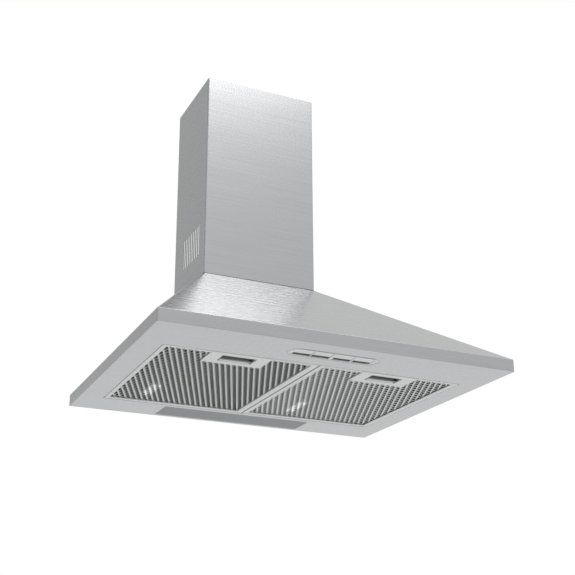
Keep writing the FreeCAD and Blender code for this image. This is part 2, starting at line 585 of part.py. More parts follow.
def control_bezel():
    """The well: an obround cup hung from the panel, with a raised island that frames the keys."""
    rim_top = SHEET + WELL_WALL
    cup = fuse([well_plate(0, EASY, WELL_FLOOR[1]), well_plate(WELL_FLANGE, SHEET, rim_top)])
    hollow = well_plate(-WELL_WALL, 0, WELL_FLOOR[0])
    level = (ISLAND_Z, WELL_FLOOR[0])
    island = fuse([rounded(*ISLAND_X, *ISLAND_Y, ISLAND_CORNER, *level),
                   rounded(*NOSE_X, *ISLAND_Y, NOSE_CORNER, *level),
                   box(*HEEL_X, HEEL_FRONT, ISLAND_Y[1], *level)]).common(hollow)
    inside = well_plate(-2 * WELL_WALL, 0, WELL_FLOOR[1] + OVER)
    slots = [box(x, x + KEY_SLOT_W, *KEY_SLOT_Y, 0, WELL_FLOOR[1] + OVER).common(inside)
             for x in KEY_SLOT_STARTS]
    return cut(fuse([cup.cut(hollow), island]), slots)


def stem_place(start):
    return start + KEY_SLOT_W / 2, (KEY_SLOT_Y[0] + EASY + KEY_REAR) / 2


def key(start):
    cap = box(start + EASY, start + KEY_SLOT_W - EASY, KEY_SLOT_Y[0] + EASY, KEY_REAR, *KEY_Z)
    lower_edges = [e for e in cap.Edges if abs(e.CenterOfMass.z - KEY_Z[0]) < TINY]
    x, y = stem_place(start)
    stem = rod(x, y, KEY_Z[1], PLUS_Z, STEM_R, STEM_TOP - KEY_Z[1])
    return fuse([cap.makeFillet(KEY_EDGE, lower_edges), stem])


def switch_block():
    body = box(*SWITCH_X, *SWITCH_Y, *SWITCH_Z)
    legs = [box(SWITCH_X[0], SWITCH_LEG_X[0], *SWITCH_LEG_Y, WELL_FLOOR[1], SWITCH_Z[0]),
            box(SWITCH_LEG_X[1], SWITCH_X[1], *SWITCH_LEG_Y, WELL_FLOOR[1], SWITCH_Z[0])]
    low = SWITCH_Z[0] - OVER
    bores = [rod(*stem_place(start), low, PLUS_Z, STEM_BORE_R, STEM_BORE_TOP - low)
             for start in KEY_SLOT_STARTS]
    return cut(fuse([body] + legs), bores)


# ------------------------------------------------------------------ lamp

def lamp_tray():
    shell = box(-TRAY_X, TRAY_X, TRAY_FRONT, TRAY_REAR, SHEET, TRAY_TOP).cut(
        box(-TRAY_X + TRAY_T, TRAY_X - TRAY_T, TRAY_FRONT + TRAY_T, TRAY_REAR - TRAY_T, 0, TRAY_TOP - TRAY_T))
    pin_end = TRAY_X - TRAY_T / 2
    pin = rod(COVER_PIN_X, COVER_PIVOT_Y, COVER_PIVOT_Z, PLUS_X, COVER_PIN_R, pin_end - COVER_PIN_X)
    return fuse([shell, pin, mirrored(pin)])


def lamp_cover():
    """The frosted cover: a face, a low wall on its back, and two eyes that turn on the tray's pins."""
    x, y0, y1 = LAMP_X - COVER_GAP, LAMP_FRONT + COVER_GAP, LAMP_REAR - COVER_GAP
    face = rounded(-x, x, y0, y1, COVER_CORNER, 0, COVER_T)
    wx, wy0, wy1 = x - COVER_INSET, y0 + COVER_INSET, y1 - COVER_INSET
    wall = box(-wx, wx, wy0, wy1, COVER_T, COVER_TOP).cut(
        box(-wx + COVER_WALL, wx - COVER_WALL, wy0 + COVER_WALL, wy1 - COVER_WALL, COVER_T, COVER_TOP))
    eye_x = wx - COVER_EYE_W
    eye = rod(eye_x, COVER_PIVOT_Y, COVER_PIVOT_Z, PLUS_X, COVER_BOSS_R, COVER_EYE_W)
    bore = bore_x(COVER_PIN_X, wx, COVER_PIVOT_Y, COVER_PIVOT_Z, COVER_BORE_R)
    return cut(fuse([face, wall, eye, mirrored(eye)]), [bore, mirrored(bore)])


def led_module(side):
    top = TRAY_TOP - TRAY_T
    x, y = side * BOARD_X, (TRAY_FRONT + TRAY_REAR) / 2
    parts = [box(x - BOARD_W / 2, x + BOARD_W / 2, y - BOARD_D / 2, y + BOARD_D / 2, top - BOARD_T, top)]
    for i in range(LED_COUNT):
        lx = x + (i - (LED_COUNT - 1) / 2) * LED_PITCH
        parts.append(box(lx - LED_SIDE / 2, lx + LED_SIDE / 2, y - LED_SIDE / 2, y + LED_SIDE / 2,
                         top - BOARD_T - LED_H, top - BOARD_T))
    return fuse(parts)


def led_driver():
    return box(*DRIVER_X, *DRIVER_Y, TRAY_TOP, TRAY_TOP + DRIVER_H)


# ------------------------------------------------------------------ blower

def scroll_point(angle, x, inset):
    r = TONGUE_R + (SCROLL_R - TONGUE_R) * (angle - TONGUE_ANGLE) / (360 - TONGUE_ANGLE) - inset
    turn = math.radians(angle)
    return V(x, FAN_Y + r * math.cos(turn), FAN_Z + r * math.sin(turn))


def scroll(half_width, inset, top):
    """The snail-shaped block of the housing, its outlet upward, shrunk by inset."""
    x, step = -half_width, (360 - TONGUE_ANGLE) / 6
    edges = []
    for k in (0, 2, 4):
        p = [scroll_point(TONGUE_ANGLE + (k + i) * step, x, inset) for i in range(3)]
        edges.append(Part.Arc(*p).toShape())
    start, end = scroll_point(TONGUE_ANGLE, x, inset), scroll_point(360, x, inset)
    outlet = [end, V(x, end.y, top), V(x, OUTLET_FRONT + inset, top), start]
    edges += [Part.makeLine(a, b) for a, b in zip(outlet, outlet[1:])]
    return Part.Face(Part.Wire(edges)).extrude(V(2 * half_width, 0, 0))


def ear_places():
    return [(side * EAR_X, y) for side in (LEFT, RIGHT) for y in EAR_Y]


def spider_screw_places():
    turns = [math.radians(a) for a in SPIDER_ANGLES]
    return [(FAN_Y + SPIDER_SCREW_R * math.cos(t), FAN_Z + SPIDER_SCREW_R * math.sin(t)) for t in turns]


def blower_housing(side):
    half, top, rear = HOUSING_W / 2, PLATE_Z[0], scroll_point(360, 0, 0).y
    rim, low = HOUSING_RIM, PLATE_Z[0] - RIM_SHEET
    parts = [scroll(half, 0, top), box(-half - rim, half + rim, OUTLET_FRONT - rim, rear + rim, low, top)]
    for x, y in ear_places():
        x0, x1 = sorted((math.copysign(half, x), math.copysign(EAR_END, x)))
        parts.append(box(x0, x1, y - EAR_W / 2, y + EAR_W / 2, low, top))
    holes = [scroll(half - HOUSING_T, HOUSING_T, top + OVER), bore_x(-half, half, FAN_Y, FAN_Z, INLET_R)]
    holes += [bore_z(x, y, low, top) for x, y in ear_places()]
    holes += [bore_x(half - HOUSING_T, half, y, z) for y, z in spider_screw_places()]
    shell = cut(fuse(parts), holes)
    x0, x1 = sorted((0, side * 2 * half))
    return shell.common(box(x0, x1, -DEPTH, 0, 0, CANOPY_TOP))


def inlet_ring():
    """The right inlet's bell mouth: a flange on the housing and a lip through its hole."""
    x = HOUSING_W / 2
    flange = rod(x, FAN_Y, FAN_Z, PLUS_X, INLET_RING_R, INLET_T)
    lip = rod(x - INLET_DEPTH, FAN_Y, FAN_Z, PLUS_X, INLET_R, INLET_DEPTH)
    return cut(fuse([flange, lip]), [bore_x(x - INLET_DEPTH, x + INLET_T, FAN_Y, FAN_Z, INLET_R - INLET_LIP)])


def wheel_disc():
    """The double-inlet wheel's middle disc with its hub."""
    disc = rod(-WHEEL_DISC / 2, FAN_Y, FAN_Z, PLUS_X, WHEEL_R, WHEEL_DISC)
    hub = rod(HUB_X[0], FAN_Y, FAN_Z, PLUS_X, HUB_R, HUB_X[1] - HUB_X[0])
    return fuse([disc, hub]).cut(bore_x(*HUB_X, FAN_Y, FAN_Z, SHAFT_R))


def wheel_rings():
    x = WHEEL_W / 2 - WHEEL_DISC
    ring = rod(x, FAN_Y, FAN_Z, PLUS_X, WHEEL_R, WHEEL_DISC)
    ring = ring.cut(bore_x(x, x + WHEEL_DISC, FAN_Y, FAN_Z, WHEEL_R - WHEEL_RING))
    return [mirrored(ring), ring]


def wheel_blades():
    """Forward-leaning strips from the middle disc out to each end ring."""
    x0, x1 = WHEEL_DISC / 2, WHEEL_W / 2 - WHEEL_DISC
    blades = []
    for i in range(BLADES):
        blade = box(x0, x1, FAN_Y + BLADE_INNER, FAN_Y + BLADE_OUTER, FAN_Z - BLADE_T / 2, FAN_Z + BLADE_T / 2)
        blade.rotate(V(0, FAN_Y + WHEEL_R - WHEEL_RING / 2, FAN_Z), PLUS_X, BLADE_LEAN)
        blade.rotate(V(0, FAN_Y, FAN_Z), PLUS_X, i * 360 / BLADES)
        blades += [blade, mirrored(blade)]
    return blades


def motor_shaft():
    return rod(SHAFT_X[0], FAN_Y, FAN_Z, PLUS_X, SHAFT_R, SHAFT_X[1] - SHAFT_X[0])


def fan_motor():
    body = rod(MOTOR_X[0], FAN_Y, FAN_Z, PLUS_X, MOTOR_R, MOTOR_X[1] - MOTOR_X[0])
    ends = [e for e in body.Edges if len(e.Vertexes) == 1]
    start = MOTOR_X[0] - OVER
    bore = rod(start, FAN_Y, FAN_Z, PLUS_X, SHAFT_BORE_R, MOTOR_BORE_END - start)
    return body.makeFillet(MOTOR_EDGE, ends).cut(bore)


def motor_bracket():
    """The spider that holds the motor in the right inlet."""
    wall = HOUSING_W / 2
    z0, z1 = FAN_Z - SPIDER_ARM_W / 2, FAN_Z + SPIDER_ARM_W / 2
    y0, y1 = FAN_Y + SPIDER_FOOT[0] + EASY, FAN_Y + SPIDER_FOOT[1]
    parts = [rod(MOTOR_X[1], FAN_Y, FAN_Z, PLUS_X, SPIDER_HUB_R, SPIDER_X - MOTOR_X[1])]
    for angle in SPIDER_ANGLES:
        arm = fuse([box(SPIDER_X - SPIDER_ARM_T, SPIDER_X, FAN_Y, y1, z0, z1),
                    box(wall, SPIDER_X, y0, y1, z0, z1)])
        arm.rotate(V(0, FAN_Y, FAN_Z), PLUS_X, angle)
        parts.append(arm)
    return cut(fuse(parts), [bore_x(wall, SPIDER_X, y, z) for y, z in spider_screw_places()])


def blower_plate():
    plate = box(-PLATE_X, PLATE_X, PLATE_FRONT, PLATE_REAR, *PLATE_Z)
    holes = [bore_z(0, DUCT_Y, *PLATE_Z, COLLAR_R - COLLAR_T), bore_z(GLAND_X, GLAND_Y, *PLATE_Z, GLAND_R)]
    holes += [bore_z(x, y, *PLATE_Z) for x, y in ear_places() + collar_screw_places()]
    return cut(plate, holes)


def blower_fasteners():
    seat = PLATE_Z[0] - RIM_SHEET
    spider_grip = SPIDER_X - HOUSING_W / 2 + HOUSING_T
    collar_seat = PLATE_Z[1] + COLLAR_FLANGE_T
    upward = [screw(x, y, seat, PLUS_Z, CANOPY_TOP - seat) for x, y in ear_places()]
    downward = [screw(x, y, collar_seat, MINUS_Z, collar_seat - PLATE_Z[0]) for x, y in collar_screw_places()]
    return {
        "blower_screws": upward + downward,
        "motor_screws": [screw(SPIDER_X, y, z, MINUS_X, spider_grip) for y, z in spider_screw_places()],
    }


# ------------------------------------------------------------------ outlet collar and damper

def collar_screw_places():
    x, y = COLLAR_SCREW
    return [(sx * x, DUCT_Y + sy * y) for sx in (LEFT, RIGHT) for sy in (-1, 1)]


def outlet_collar():
    z, top = PLATE_Z[1], PLATE_Z[1] + COLLAR_FLANGE_T
    inner_r = COLLAR_R - COLLAR_T
    flange = fuse([rod(0, DUCT_Y, z, PLUS_Z, COLLAR_FLANGE_R, COLLAR_FLANGE_T),
                   box(-COLLAR_TAB_X, COLLAR_TAB_X, DUCT_Y - COLLAR_TAB_Y, DUCT_Y + COLLAR_TAB_Y, z, top)])
    body = fuse([flange, rod(0, DUCT_Y, z, PLUS_Z, COLLAR_R, COLLAR_TOP - z)])
    holes = [bore_z(0, DUCT_Y, z, COLLAR_TOP, inner_r)]
    holes += [bore_z(x, y, z, top) for x, y in collar_screw_places()]
    tube = cut(body, holes)
    lug = box(LUG_X, COLLAR_R, DUCT_Y - LUG_HALF, DUCT_Y + LUG_HALF, FLAP_Z - LUG_HALF, FLAP_Z + LUG_HALF)
    lug = lug.common(rod(0, DUCT_Y, z, PLUS_Z, COLLAR_R - COLLAR_T / 2, COLLAR_TOP - z))
    return fuse([tube, lug, mirrored(lug)]).cut(damper_pin())


def damper_pin():
    return rod(-PIN_X, DUCT_Y, FLAP_Z, PLUS_X, PIN_R, 2 * PIN_X)


def damper_flap(way, knuckles):
    """Half a disc that hangs on the pin by its knuckles; way is -1 for the front one, 1 for the rear one."""
    z0 = FLAP_Z - FLAP_T / 2
    y0, y1 = sorted((DUCT_Y + way * FLAP_EDGE, DUCT_Y + way * FLAP_R))
    plate = rod(0, DUCT_Y, z0, PLUS_Z, FLAP_R, FLAP_T).common(box(-FLAP_R, FLAP_R, y0, y1, z0, z0 + FLAP_T))
    wide, deep = LUG_CLEAR
    notch = box(LUG_X - OVER, LUG_X - OVER + wide, DUCT_Y - deep, DUCT_Y + deep, z0, z0 + FLAP_T)
    parts = [cut(plate, [notch, mirrored(notch)])]
    for x0, x1 in knuckles:
        parts.append(rod(x0, DUCT_Y, FLAP_Z, PLUS_X, KNUCKLE_R, x1 - x0))
        w0, w1 = sorted((DUCT_Y + way * PIN_R, DUCT_Y + way * (FLAP_EDGE + SHEET)))
        parts.append(box(x0, x1, w0, w1, z0, z0 + FLAP_T))
    return fuse(parts).cut(bore_x(-PIN_X, PIN_X, DUCT_Y, FLAP_Z, KNUCKLE_BORE_R))


# ------------------------------------------------------------------ electrics

def terminal_box():
    (x0, x1), (y0, y1), (z0, z1), t = TERMINAL_X, TERMINAL_Y, TERMINAL_Z, TERMINAL_T
    return box(x0, x1, y0 + LID_T, y1, z0, z1).cut(box(x0 + t, x1 - t, y0, y1 - t, z0 + t, z1 - t))


def terminal_lid():
    return box(*TERMINAL_X, TERMINAL_Y[0], TERMINAL_Y[0] + LID_T, *TERMINAL_Z)


def run_capacitor():
    y = TERMINAL_Y[1] - TERMINAL_T - CAPACITOR_R
    z = TERMINAL_Z[0] + TERMINAL_T + CAPACITOR_R
    return rod(CAPACITOR_X[0], y, z, PLUS_X, CAPACITOR_R, CAPACITOR_X[1] - CAPACITOR_X[0])


def mains_gland():
    nut_low = PLATE_Z[0] - GLAND_Z[0]
    body = fuse([rod(GLAND_X, GLAND_Y, GLAND_Z[0], PLUS_Z, GLAND_R, GLAND_Z[1] - GLAND_Z[0]),
                 rod(GLAND_X, GLAND_Y, GLAND_Z[0], PLUS_Z, GLAND_NUT_R, nut_low),
                 rod(GLAND_X, GLAND_Y, CANOPY_TOP, PLUS_Z, GLAND_NUT_R, GLAND_NUT_T)])
    return body.cut(bore_z(GLAND_X, GLAND_Y, *GLAND_Z, GLAND_BORE_R))


# ------------------------------------------------------------------ all nodes

def hood():
    nodes = {
        **canopy_sheets(),
        "rear_panel": rear_panel(),
        "wall_hanger_left": wall_hanger(LEFT),
        "wall_hanger_right": wall_hanger(RIGHT),
        "chimney_seat": chimney_seat(),
        "chimney_lower": chimney_lower(),
        "chimney_upper": chimney_upper(),
        "chimney_wall_bracket": chimney_wall_bracket(),
        "underside_panel": underside_panel(),
        "filter_rail": filter_rail(),
        "control_bezel": control_bezel(),
        "switch_block": switch_block(),
        "lamp_tray": lamp_tray(),
        "lamp_cover": lamp_cover(),
        "led_modules": Part.makeCompound([led_module(LEFT), led_module(RIGHT)]),
        "led_driver": led_driver(),
        "blower_housing_left": blower_housing(LEFT),
        "blower_housing_right": blower_housing(RIGHT),
        "inlet_ring_left": mirrored(inlet_ring()),
        "inlet_ring_right": inlet_ring(),
        "wheel_disc": wheel_disc(),
        "wheel_rings": Part.makeCompound(wheel_rings()),
        "wheel_blades": Part.makeCompound(wheel_blades()),
        "motor_shaft": motor_shaft(),
        "fan_motor": fan_motor(),
        "motor_bracket": motor_bracket(),
        "blower_plate": blower_plate(),
        "outlet_collar": outlet_collar(),
        "damper_pin": damper_pin(),
        "damper_flap_front": damper_flap(-1, FRONT_KNUCKLES),
        "damper_flap_rear": damper_flap(1, REAR_KNUCKLES),
        "terminal_box": terminal_box(),
        "terminal_lid": terminal_lid(),
        "run_capacitor": run_capacitor(),
        "mains_gland": mains_gland(),
        "motor_cable": cable(MOTOR_CABLE),
        "switch_cable": cable(SWITCH_CABLE),
        "lamp_cable": cable(LAMP_CABLE),
    }
    for name, start in zip(KEY_NAMES, KEY_SLOT_STARTS):
        nodes[name] = key(start)
    makers = {"frame": filter_frame, "mesh": filter_mesh, "layers": filter_layers,
              "handle": filter_handle, "latch": filter_latch}
    for piece, make in makers.items():
        nodes[f"filter_{piece}_right"] = make()
        nodes[f"filter_{piece}_left"] = mirrored(nodes[f"filter_{piece}_right"])
    for fasteners in (canopy_fasteners(), chimney_fasteners(), blower_fasteners()):
        for name, screws in fasteners.items():
            nodes[name] = Part.makeCompound(screws)
    return nodes


def main():
    os.makedirs("parts", exist_ok=True)
    nodes = hood()
    for name, shape in nodes.items():
        shape.exportStep(f"parts/{name}.step")
        if not shape.isValid():
            print("not valid:", name)
    print(len(nodes), "nodes")


main()
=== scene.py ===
"""Finish of a wall-mounted pyramid range hood: brushed canopy and chimney, mesh grease filters, lamp, keys.

Metres.  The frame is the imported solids': origin on the wall plane, in the middle of the lower rear edge.
"""
import json
import math

import bmesh
import bpy
from mathutils import Euler, Matrix, Vector


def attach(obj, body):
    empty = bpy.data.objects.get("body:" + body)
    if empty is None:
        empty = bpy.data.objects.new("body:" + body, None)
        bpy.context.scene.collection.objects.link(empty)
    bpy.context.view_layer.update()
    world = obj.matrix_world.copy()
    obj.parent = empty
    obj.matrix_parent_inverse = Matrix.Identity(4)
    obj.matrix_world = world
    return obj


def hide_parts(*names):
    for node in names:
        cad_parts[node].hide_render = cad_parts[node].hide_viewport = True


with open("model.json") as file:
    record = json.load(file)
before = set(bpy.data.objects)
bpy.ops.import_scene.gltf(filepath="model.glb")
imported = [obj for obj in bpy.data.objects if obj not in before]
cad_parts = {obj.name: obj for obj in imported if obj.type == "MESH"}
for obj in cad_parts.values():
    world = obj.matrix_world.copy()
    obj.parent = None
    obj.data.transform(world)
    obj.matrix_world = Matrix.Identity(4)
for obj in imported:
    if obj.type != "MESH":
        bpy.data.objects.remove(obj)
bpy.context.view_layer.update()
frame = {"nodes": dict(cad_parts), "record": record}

MM = 0.001
AXIS_Y, AXIS_Z = 1, 2

# --- sizes shared with the solids, in millimetres ---
WIDTH, DEPTH, FASCIA, CANOPY_TOP = 600.0, 500.0, 20.0, 227.5
CHIMNEY_W, CHIMNEY_D, CHIMNEY_LIP, CHIMNEY_TOP, SHEET = 220.0, 165.0, 100.0, 630.0, 1.0
FILTER_IN, FILTER_OUT, FILTER_FRONT, FILTER_REAR = 1.5, 258.0, -402.0, -79.0
FILTER_MID = (FILTER_IN + FILTER_OUT) / 2
HANDLE_HALF = 50.0

# --- expanded metal of the grease filters, in millimetres and degrees: 10 x 24.4 mm diamonds ---
MESH_PITCH, MESH_ROW, MESH_COLUMNS = 10.0, 12.2, 24
MESH_STEP = MESH_ROW / 4
MESH_STRAND, MESH_THICK, MESH_MIDDLE_Z = 5.7, 0.6, 3.05
MESH_LEANS = {"left": -20.5, "right": -12.8}
MESH_FRONT, MESH_BEHIND_HANDLE, MESH_REAR = (rows * MESH_ROW for rows in (-32.75, -28.5, -6.5))
UNDER_HANDLE = 2.0              # how far strands may reach under the sides of a handle's plate
POINTS_PAST_STEPS = 1.5         # one, and a half so that dropping the fraction rounds

# --- finish details; lengths in millimetres ---
SCRATCH_DEPTH = 0.002
STREAK_LENGTH = 1.7             # in lengths of a scratch
# painted glints: a white patch on each filter's strands and inner layers; its middles and half sizes in mm
PAINTED_GLINT_X, PAINTED_GLINT_HALF_X, PAINTED_GLINT_Y, PAINTED_GLINT_HALF_Y = (-196.0, 78.0), 9.5, -152.0, 38.0
PAINTED_GLINT_EDGE = 0.8                # the share of a patch's half size that is fully bright
# the inner layers: the painted shade in their cells, and the colour of their foil
LAYER_PAINTED_SHADE, LAYER_FOIL = "#161616", "#6A6A6A"
# painted shade inside the key well and the handles' pockets: its grey, and each recess's half width and the
# depths over which it darkens, in mm
PAINTED_RECESS_SHADE = "#6E6F70"
WELL_SHADE_HALF, WELL_SHADE_DEPTHS = 80.0, (0.85, 2.6)
POCKET_SHADE_HALF, POCKET_SHADE_DEPTHS = 31.0, (0.8, 3.5)
DIODES_BELOW = 21.5             # a level between the lamp's boards and the faces of their diodes
SPREAD = {"From Min": 0.25, "From Max": 0.75}      # where most of a noise lies
MIX_A, MIX_B, MIXED = 6, 7, 2   # the colour sockets of a Mix node

# --- softened edges; lengths in millimetres ---
FOLD, FASCIA_FOLD, HEM, FOLD_STEPS = 2.6, 0.4, 0.9, 4
FOLD_SHARES = [step / FOLD_STEPS for step in range(FOLD_STEPS + 1)]
FOLD_ANGLES = [math.radians(90 * share) for share in FOLD_SHARES]
CUT_EDGE, MOULDED_EDGE, ROLLED_EDGE, EDGE_STEPS = 0.25, 0.4, 1.9, 3
FOOT_GAP = 0.8                  # between the chimney cover's foot and the canopy's top
TOLERANCE = 0.02
MERGE = 1e-6                    # metres
FLAT, SHARP = math.radians(0.4), math.radians(35)
MITRE_SLANT, LEVEL = 0.3, 0.99  # parts of a face's normal

# --- the photograph's viewpoint, in millimetres and degrees; the shift is in picture widths ---
CAMERA_PLACE = (-720.7, -1832.2, -495.2)
CAMERA_AZIMUTH, CAMERA_ELEVATION = 24.22, 19.11
CAMERA_LENS, CAMERA_SENSOR, CAMERA_SHIFT = 66.68, 36.0, (0.0217, 0.0739)

# --- studio, in metres ---
WHITE = (1, 1, 1, 1)
WORLD_LEVEL = 0.95
FLOOR_COLOUR, FLOOR_Z, FLOOR_RADIUS, FLOOR_FADE, FLOOR_CORNERS = "#F2F2F2", -1.6, 4.0, (0.9, 2.2), 96
HOOD_MIDDLE = Vector((0, -0.2, 0.3))
SOFTBOXES = {                   # azimuth and elevation in degrees, distance, width and height, radiance
    "front_softbox": (166, 50.8, 2.4, (1.5, 0.45), 9.0),
    "ceiling_softbox": (150, 57, 2.6, (2.6, 0.9), 2.2),
}
FLAG_ENDS, FLAG_HEIGHTS, FLAG_LEVEL = ((-2.9, 0.78), (-2.3, 1.93)), (-0.6, 3.6), 0.12
SCREEN_ENDS, SCREEN_HEIGHTS = ((-3.6, 2.6), (3.6, 2.6)), (-0.5, 4.2)
SCREEN_TURN, SCREEN_LEVELS = (-0.5, 1.2), (0.68, 0.82)


# ------------------------------------------------------------------ helpers

def linear(hex_colour):
    """An sRGB hex colour as linear RGBA."""
    channels = [int(hex_colour[i:i + 2], 16) / 255 for i in (1, 3, 5)]
    return [c / 12.92 if c <= 0.04045 else ((c + 0.055) / 1.055) ** 2.4 for c in channels] + [1.0]


def add(tree, kind, settings, inputs):
    """A new node.  An input is a value, a socket to link, or a node whose first output is linked.

    The setting color_ramp is the hex colours of the ramp's two ends.
    """
    node = tree.nodes.new(kind)
    for name, value in settings.items():
        if name == "color_ramp":
            for end, colour in zip(node.color_ramp.elements, value):
                end.color = linear(colour)
        else:
            setattr(node, name, value)
    for name, value in inputs.items():
        if isinstance(value, bpy.types.Node):
            value = value.outputs[0]
        if isinstance(value, bpy.types.NodeSocket):
            tree.links.new(value, node.inputs[name])
        else:
            node.inputs[name].default_value = value
    return node


def blank(name):
    """A material with an empty node tree."""
    made = bpy.data.materials.new(name)
    made.use_nodes = True
    made.node_tree.nodes.clear()
    return made, made.node_tree


def finished(made, sockets):
    """The material with one Principled shader on its nodes."""
    shader = add(made.node_tree, "ShaderNodeBsdfPrincipled", {}, sockets)
    add(made.node_tree, "ShaderNodeOutputMaterial", {}, {"Surface": shader})
    return made


def glowing(made, level):
    """The material with a white glow of a level."""
    glow = add(made.node_tree, "ShaderNodeEmission", {}, {"Color": WHITE, "Strength": level})
    add(made.node_tree, "ShaderNodeOutputMaterial", {}, {"Surface": glow})
    return made


def object_axes(tree):
    """Object coordinates in metres, one socket for each axis."""
    place = add(tree, "ShaderNodeTexCoord", {}, {})
    return add(tree, "ShaderNodeSeparateXYZ", {}, {"Vector": place.outputs["Object"]}).outputs


def in_mm(tree, lengths):
    """Object coordinates in which one unit is lengths[axis] millimetres."""
    place = add(tree, "ShaderNodeTexCoord", {}, {})
    scale = [1 / (length * MM) for length in lengths]
    return add(tree, "ShaderNodeMapping", {}, {"Vector": place.outputs["Object"], "Scale": scale})


def uneven(tree, lengths, detail=2.0):
    """Soft irregular spots, lengths[axis] millimetres long; most of it lies within SPREAD."""
    return add(tree, "ShaderNodeTexNoise", {},
               {"Vector": in_mm(tree, lengths), "Scale": 1.0, "Detail": detail})


def in_scene(name, data):
    """A new object in the scene."""
    made = bpy.data.objects.new(name, data)
    bpy.context.scene.collection.objects.link(made)
    return made


def mesh_of(name, shape):
    """A mesh from a bmesh, which is freed."""
    mesh = bpy.data.meshes.new(name)
    shape.to_mesh(mesh)
    shape.free()
    return mesh


def plain_mesh(maker):
    """The mesh that an object's modifiers make; the object and its own mesh go."""
    base = maker.data
    mesh = bpy.data.meshes.new_from_object(maker.evaluated_get(bpy.context.evaluated_depsgraph_get()))
    bpy.data.objects.remove(maker)
    bpy.data.meshes.remove(base)
    return mesh


# ------------------------------------------------------------------ materials

def brushed_steel(name, grain, dark, light):
    """Stainless sheet ground with a fine belt: short scratches all one way, so reflections smear across them.

    The real scratches are about 0.05 mm wide; here they are drawn up to twenty times coarser, or they
    would vanish between pixels.
    """
    made, tree = blank(name)
    scratches = uneven(tree, grain, 3.0)
    streaks = uneven(tree, [length * STREAK_LENGTH for length in grain])
    share = add(tree, "ShaderNodeMapRange", {}, {"Value": scratches, "From Min": 0.3, "From Max": 0.7})
    return finished(made, {
        "Base Color": add(tree, "ShaderNodeValToRGB", {"color_ramp": (dark, light)}, {"Fac": share}),
        "Metallic": 1.0,
        "Roughness": add(tree, "ShaderNodeMapRange", {},
                         {"Value": streaks, **SPREAD, "To Min": 0.26, "To Max": 0.29}),
        "Normal": add(tree, "ShaderNodeBump", {}, {"Height": scratches, "Distance": SCRATCH_DEPTH * MM}),
    })


def galvanised_sheet():
    """Hot-dip zinc on steel: dull blue-grey with spangle crystals of about 9 mm."""
    made, tree = blank("galvanised_sheet")
    cells = add(tree, "ShaderNodeTexVoronoi", {}, {"Vector": in_mm(tree, [9, 9, 9]), "Scale": 1.0})
    spangle = add(tree, "ShaderNodeSeparateColor", {}, {"Color": cells.outputs["Color"]})
    skin = uneven(tree, [3, 3, 3])
    return finished(made, {
        "Base Color": add(tree, "ShaderNodeValToRGB",
                          {"color_ramp": ("#9DA1A4", "#B4B7B9")}, {"Fac": spangle}),
        "Metallic": 0.9,
        "Roughness": add(tree, "ShaderNodeMapRange", {}, {"Value": spangle, "To Min": 0.38, "To Max": 0.52}),
        "Normal": add(tree, "ShaderNodeBump", {}, {"Height": skin, "Distance": 0.02 * MM}),
    })


def plated_screw():
    """Bright zinc-plated steel: smooth, a little blue, with faint turning marks."""
    made, tree = blank("plated_screw")
    clouds = uneven(tree, [0.8, 0.8, 0.8])
    marks = uneven(tree, [0.4, 0.4, 0.4])
    return finished(made, {
        "Base Color": add(tree, "ShaderNodeValToRGB",
                          {"color_ramp": ("#B9BDC2", "#CDD0D3")}, {"Fac": clouds}),
        "Metallic": 1.0,
        "Roughness": add(tree, "ShaderNodeMapRange", {},
                         {"Value": marks, **SPREAD, "To Min": 0.22, "To Max": 0.34}),
        "Normal": add(tree, "ShaderNodeBump", {}, {"Height": marks, "Distance": 0.01 * MM}),
    })


def filter_aluminium():
    """Rolled aluminium strip of the filter's frame: pale, satin, drawn lengthwise by its rolls."""
    made, tree = blank("filter_aluminium")
    drawn = uneven(tree, [40, 1.2, 1.2])
    return finished(made, {
        "Base Color": add(tree, "ShaderNodeValToRGB",
                          {"color_ramp": ("#BDBEBE", "#CCCDCD")}, {"Fac": drawn}),
        "Metallic": 1.0,
        "Roughness": add(tree, "ShaderNodeMapRange", {},
                         {"Value": drawn, **SPREAD, "To Min": 0.3, "To Max": 0.4}),
        "Normal": add(tree, "ShaderNodeBump", {}, {"Height": drawn, "Distance": 0.015 * MM}),
    })


def painted_glint_spot(tree):
    """The mask of the painted glints: 1 in the middle of a patch near each filter's left side, and 0 outside
    it.
    """
    place = object_axes(tree)
    shares = []
    for axis, middle, half in (("X", PAINTED_GLINT_X[0], PAINTED_GLINT_HALF_X), ("X", PAINTED_GLINT_X[1], PAINTED_GLINT_HALF_X),
                               ("Y", PAINTED_GLINT_Y, PAINTED_GLINT_HALF_Y)):
        away = add(tree, "ShaderNodeMath", {"operation": "SUBTRACT"}, {0: place[axis], 1: middle * MM})
        far = add(tree, "ShaderNodeMath", {"operation": "ABSOLUTE"}, {0: away})
        shares.append(add(tree, "ShaderNodeMapRange", {"interpolation_type": "SMOOTHSTEP"},
                          {"Value": far, "From Min": half * MM, "From Max": half * MM * PAINTED_GLINT_EDGE}))
    either = add(tree, "ShaderNodeMath", {"operation": "MAXIMUM"}, {0: shares[0], 1: shares[1]})
    return add(tree, "ShaderNodeMath", {"operation": "MULTIPLY"}, {0: either, 1: shares[2]})


def expanded_aluminium():
    """Expanded aluminium: slit and drawn strands, satin, with a painted glint, a white patch, on each filter.
    """
    made, tree = blank("expanded_aluminium")
    drawn = uneven(tree, [2, 6, 2])
    satin = add(tree, "ShaderNodeValToRGB", {"color_ramp": ("#BFC0C0", "#CFD0D0")}, {"Fac": drawn})
    # painted glint: the strands turn white in a patch on each filter
    colour = add(tree, "ShaderNodeMix", {"data_type": "RGBA"},
                 {0: painted_glint_spot(tree), MIX_A: satin, MIX_B: linear("#FFFFFF")})
    return finished(made, {
        "Base Color": colour.outputs[MIXED],
        "Metallic": 1.0,
        "Roughness": add(tree, "ShaderNodeMapRange", {},
                         {"Value": drawn, **SPREAD, "To Min": 0.32, "To Max": 0.42}),
        "Normal": add(tree, "ShaderNodeBump", {}, {"Height": drawn, "Distance": 0.02 * MM}),
    })


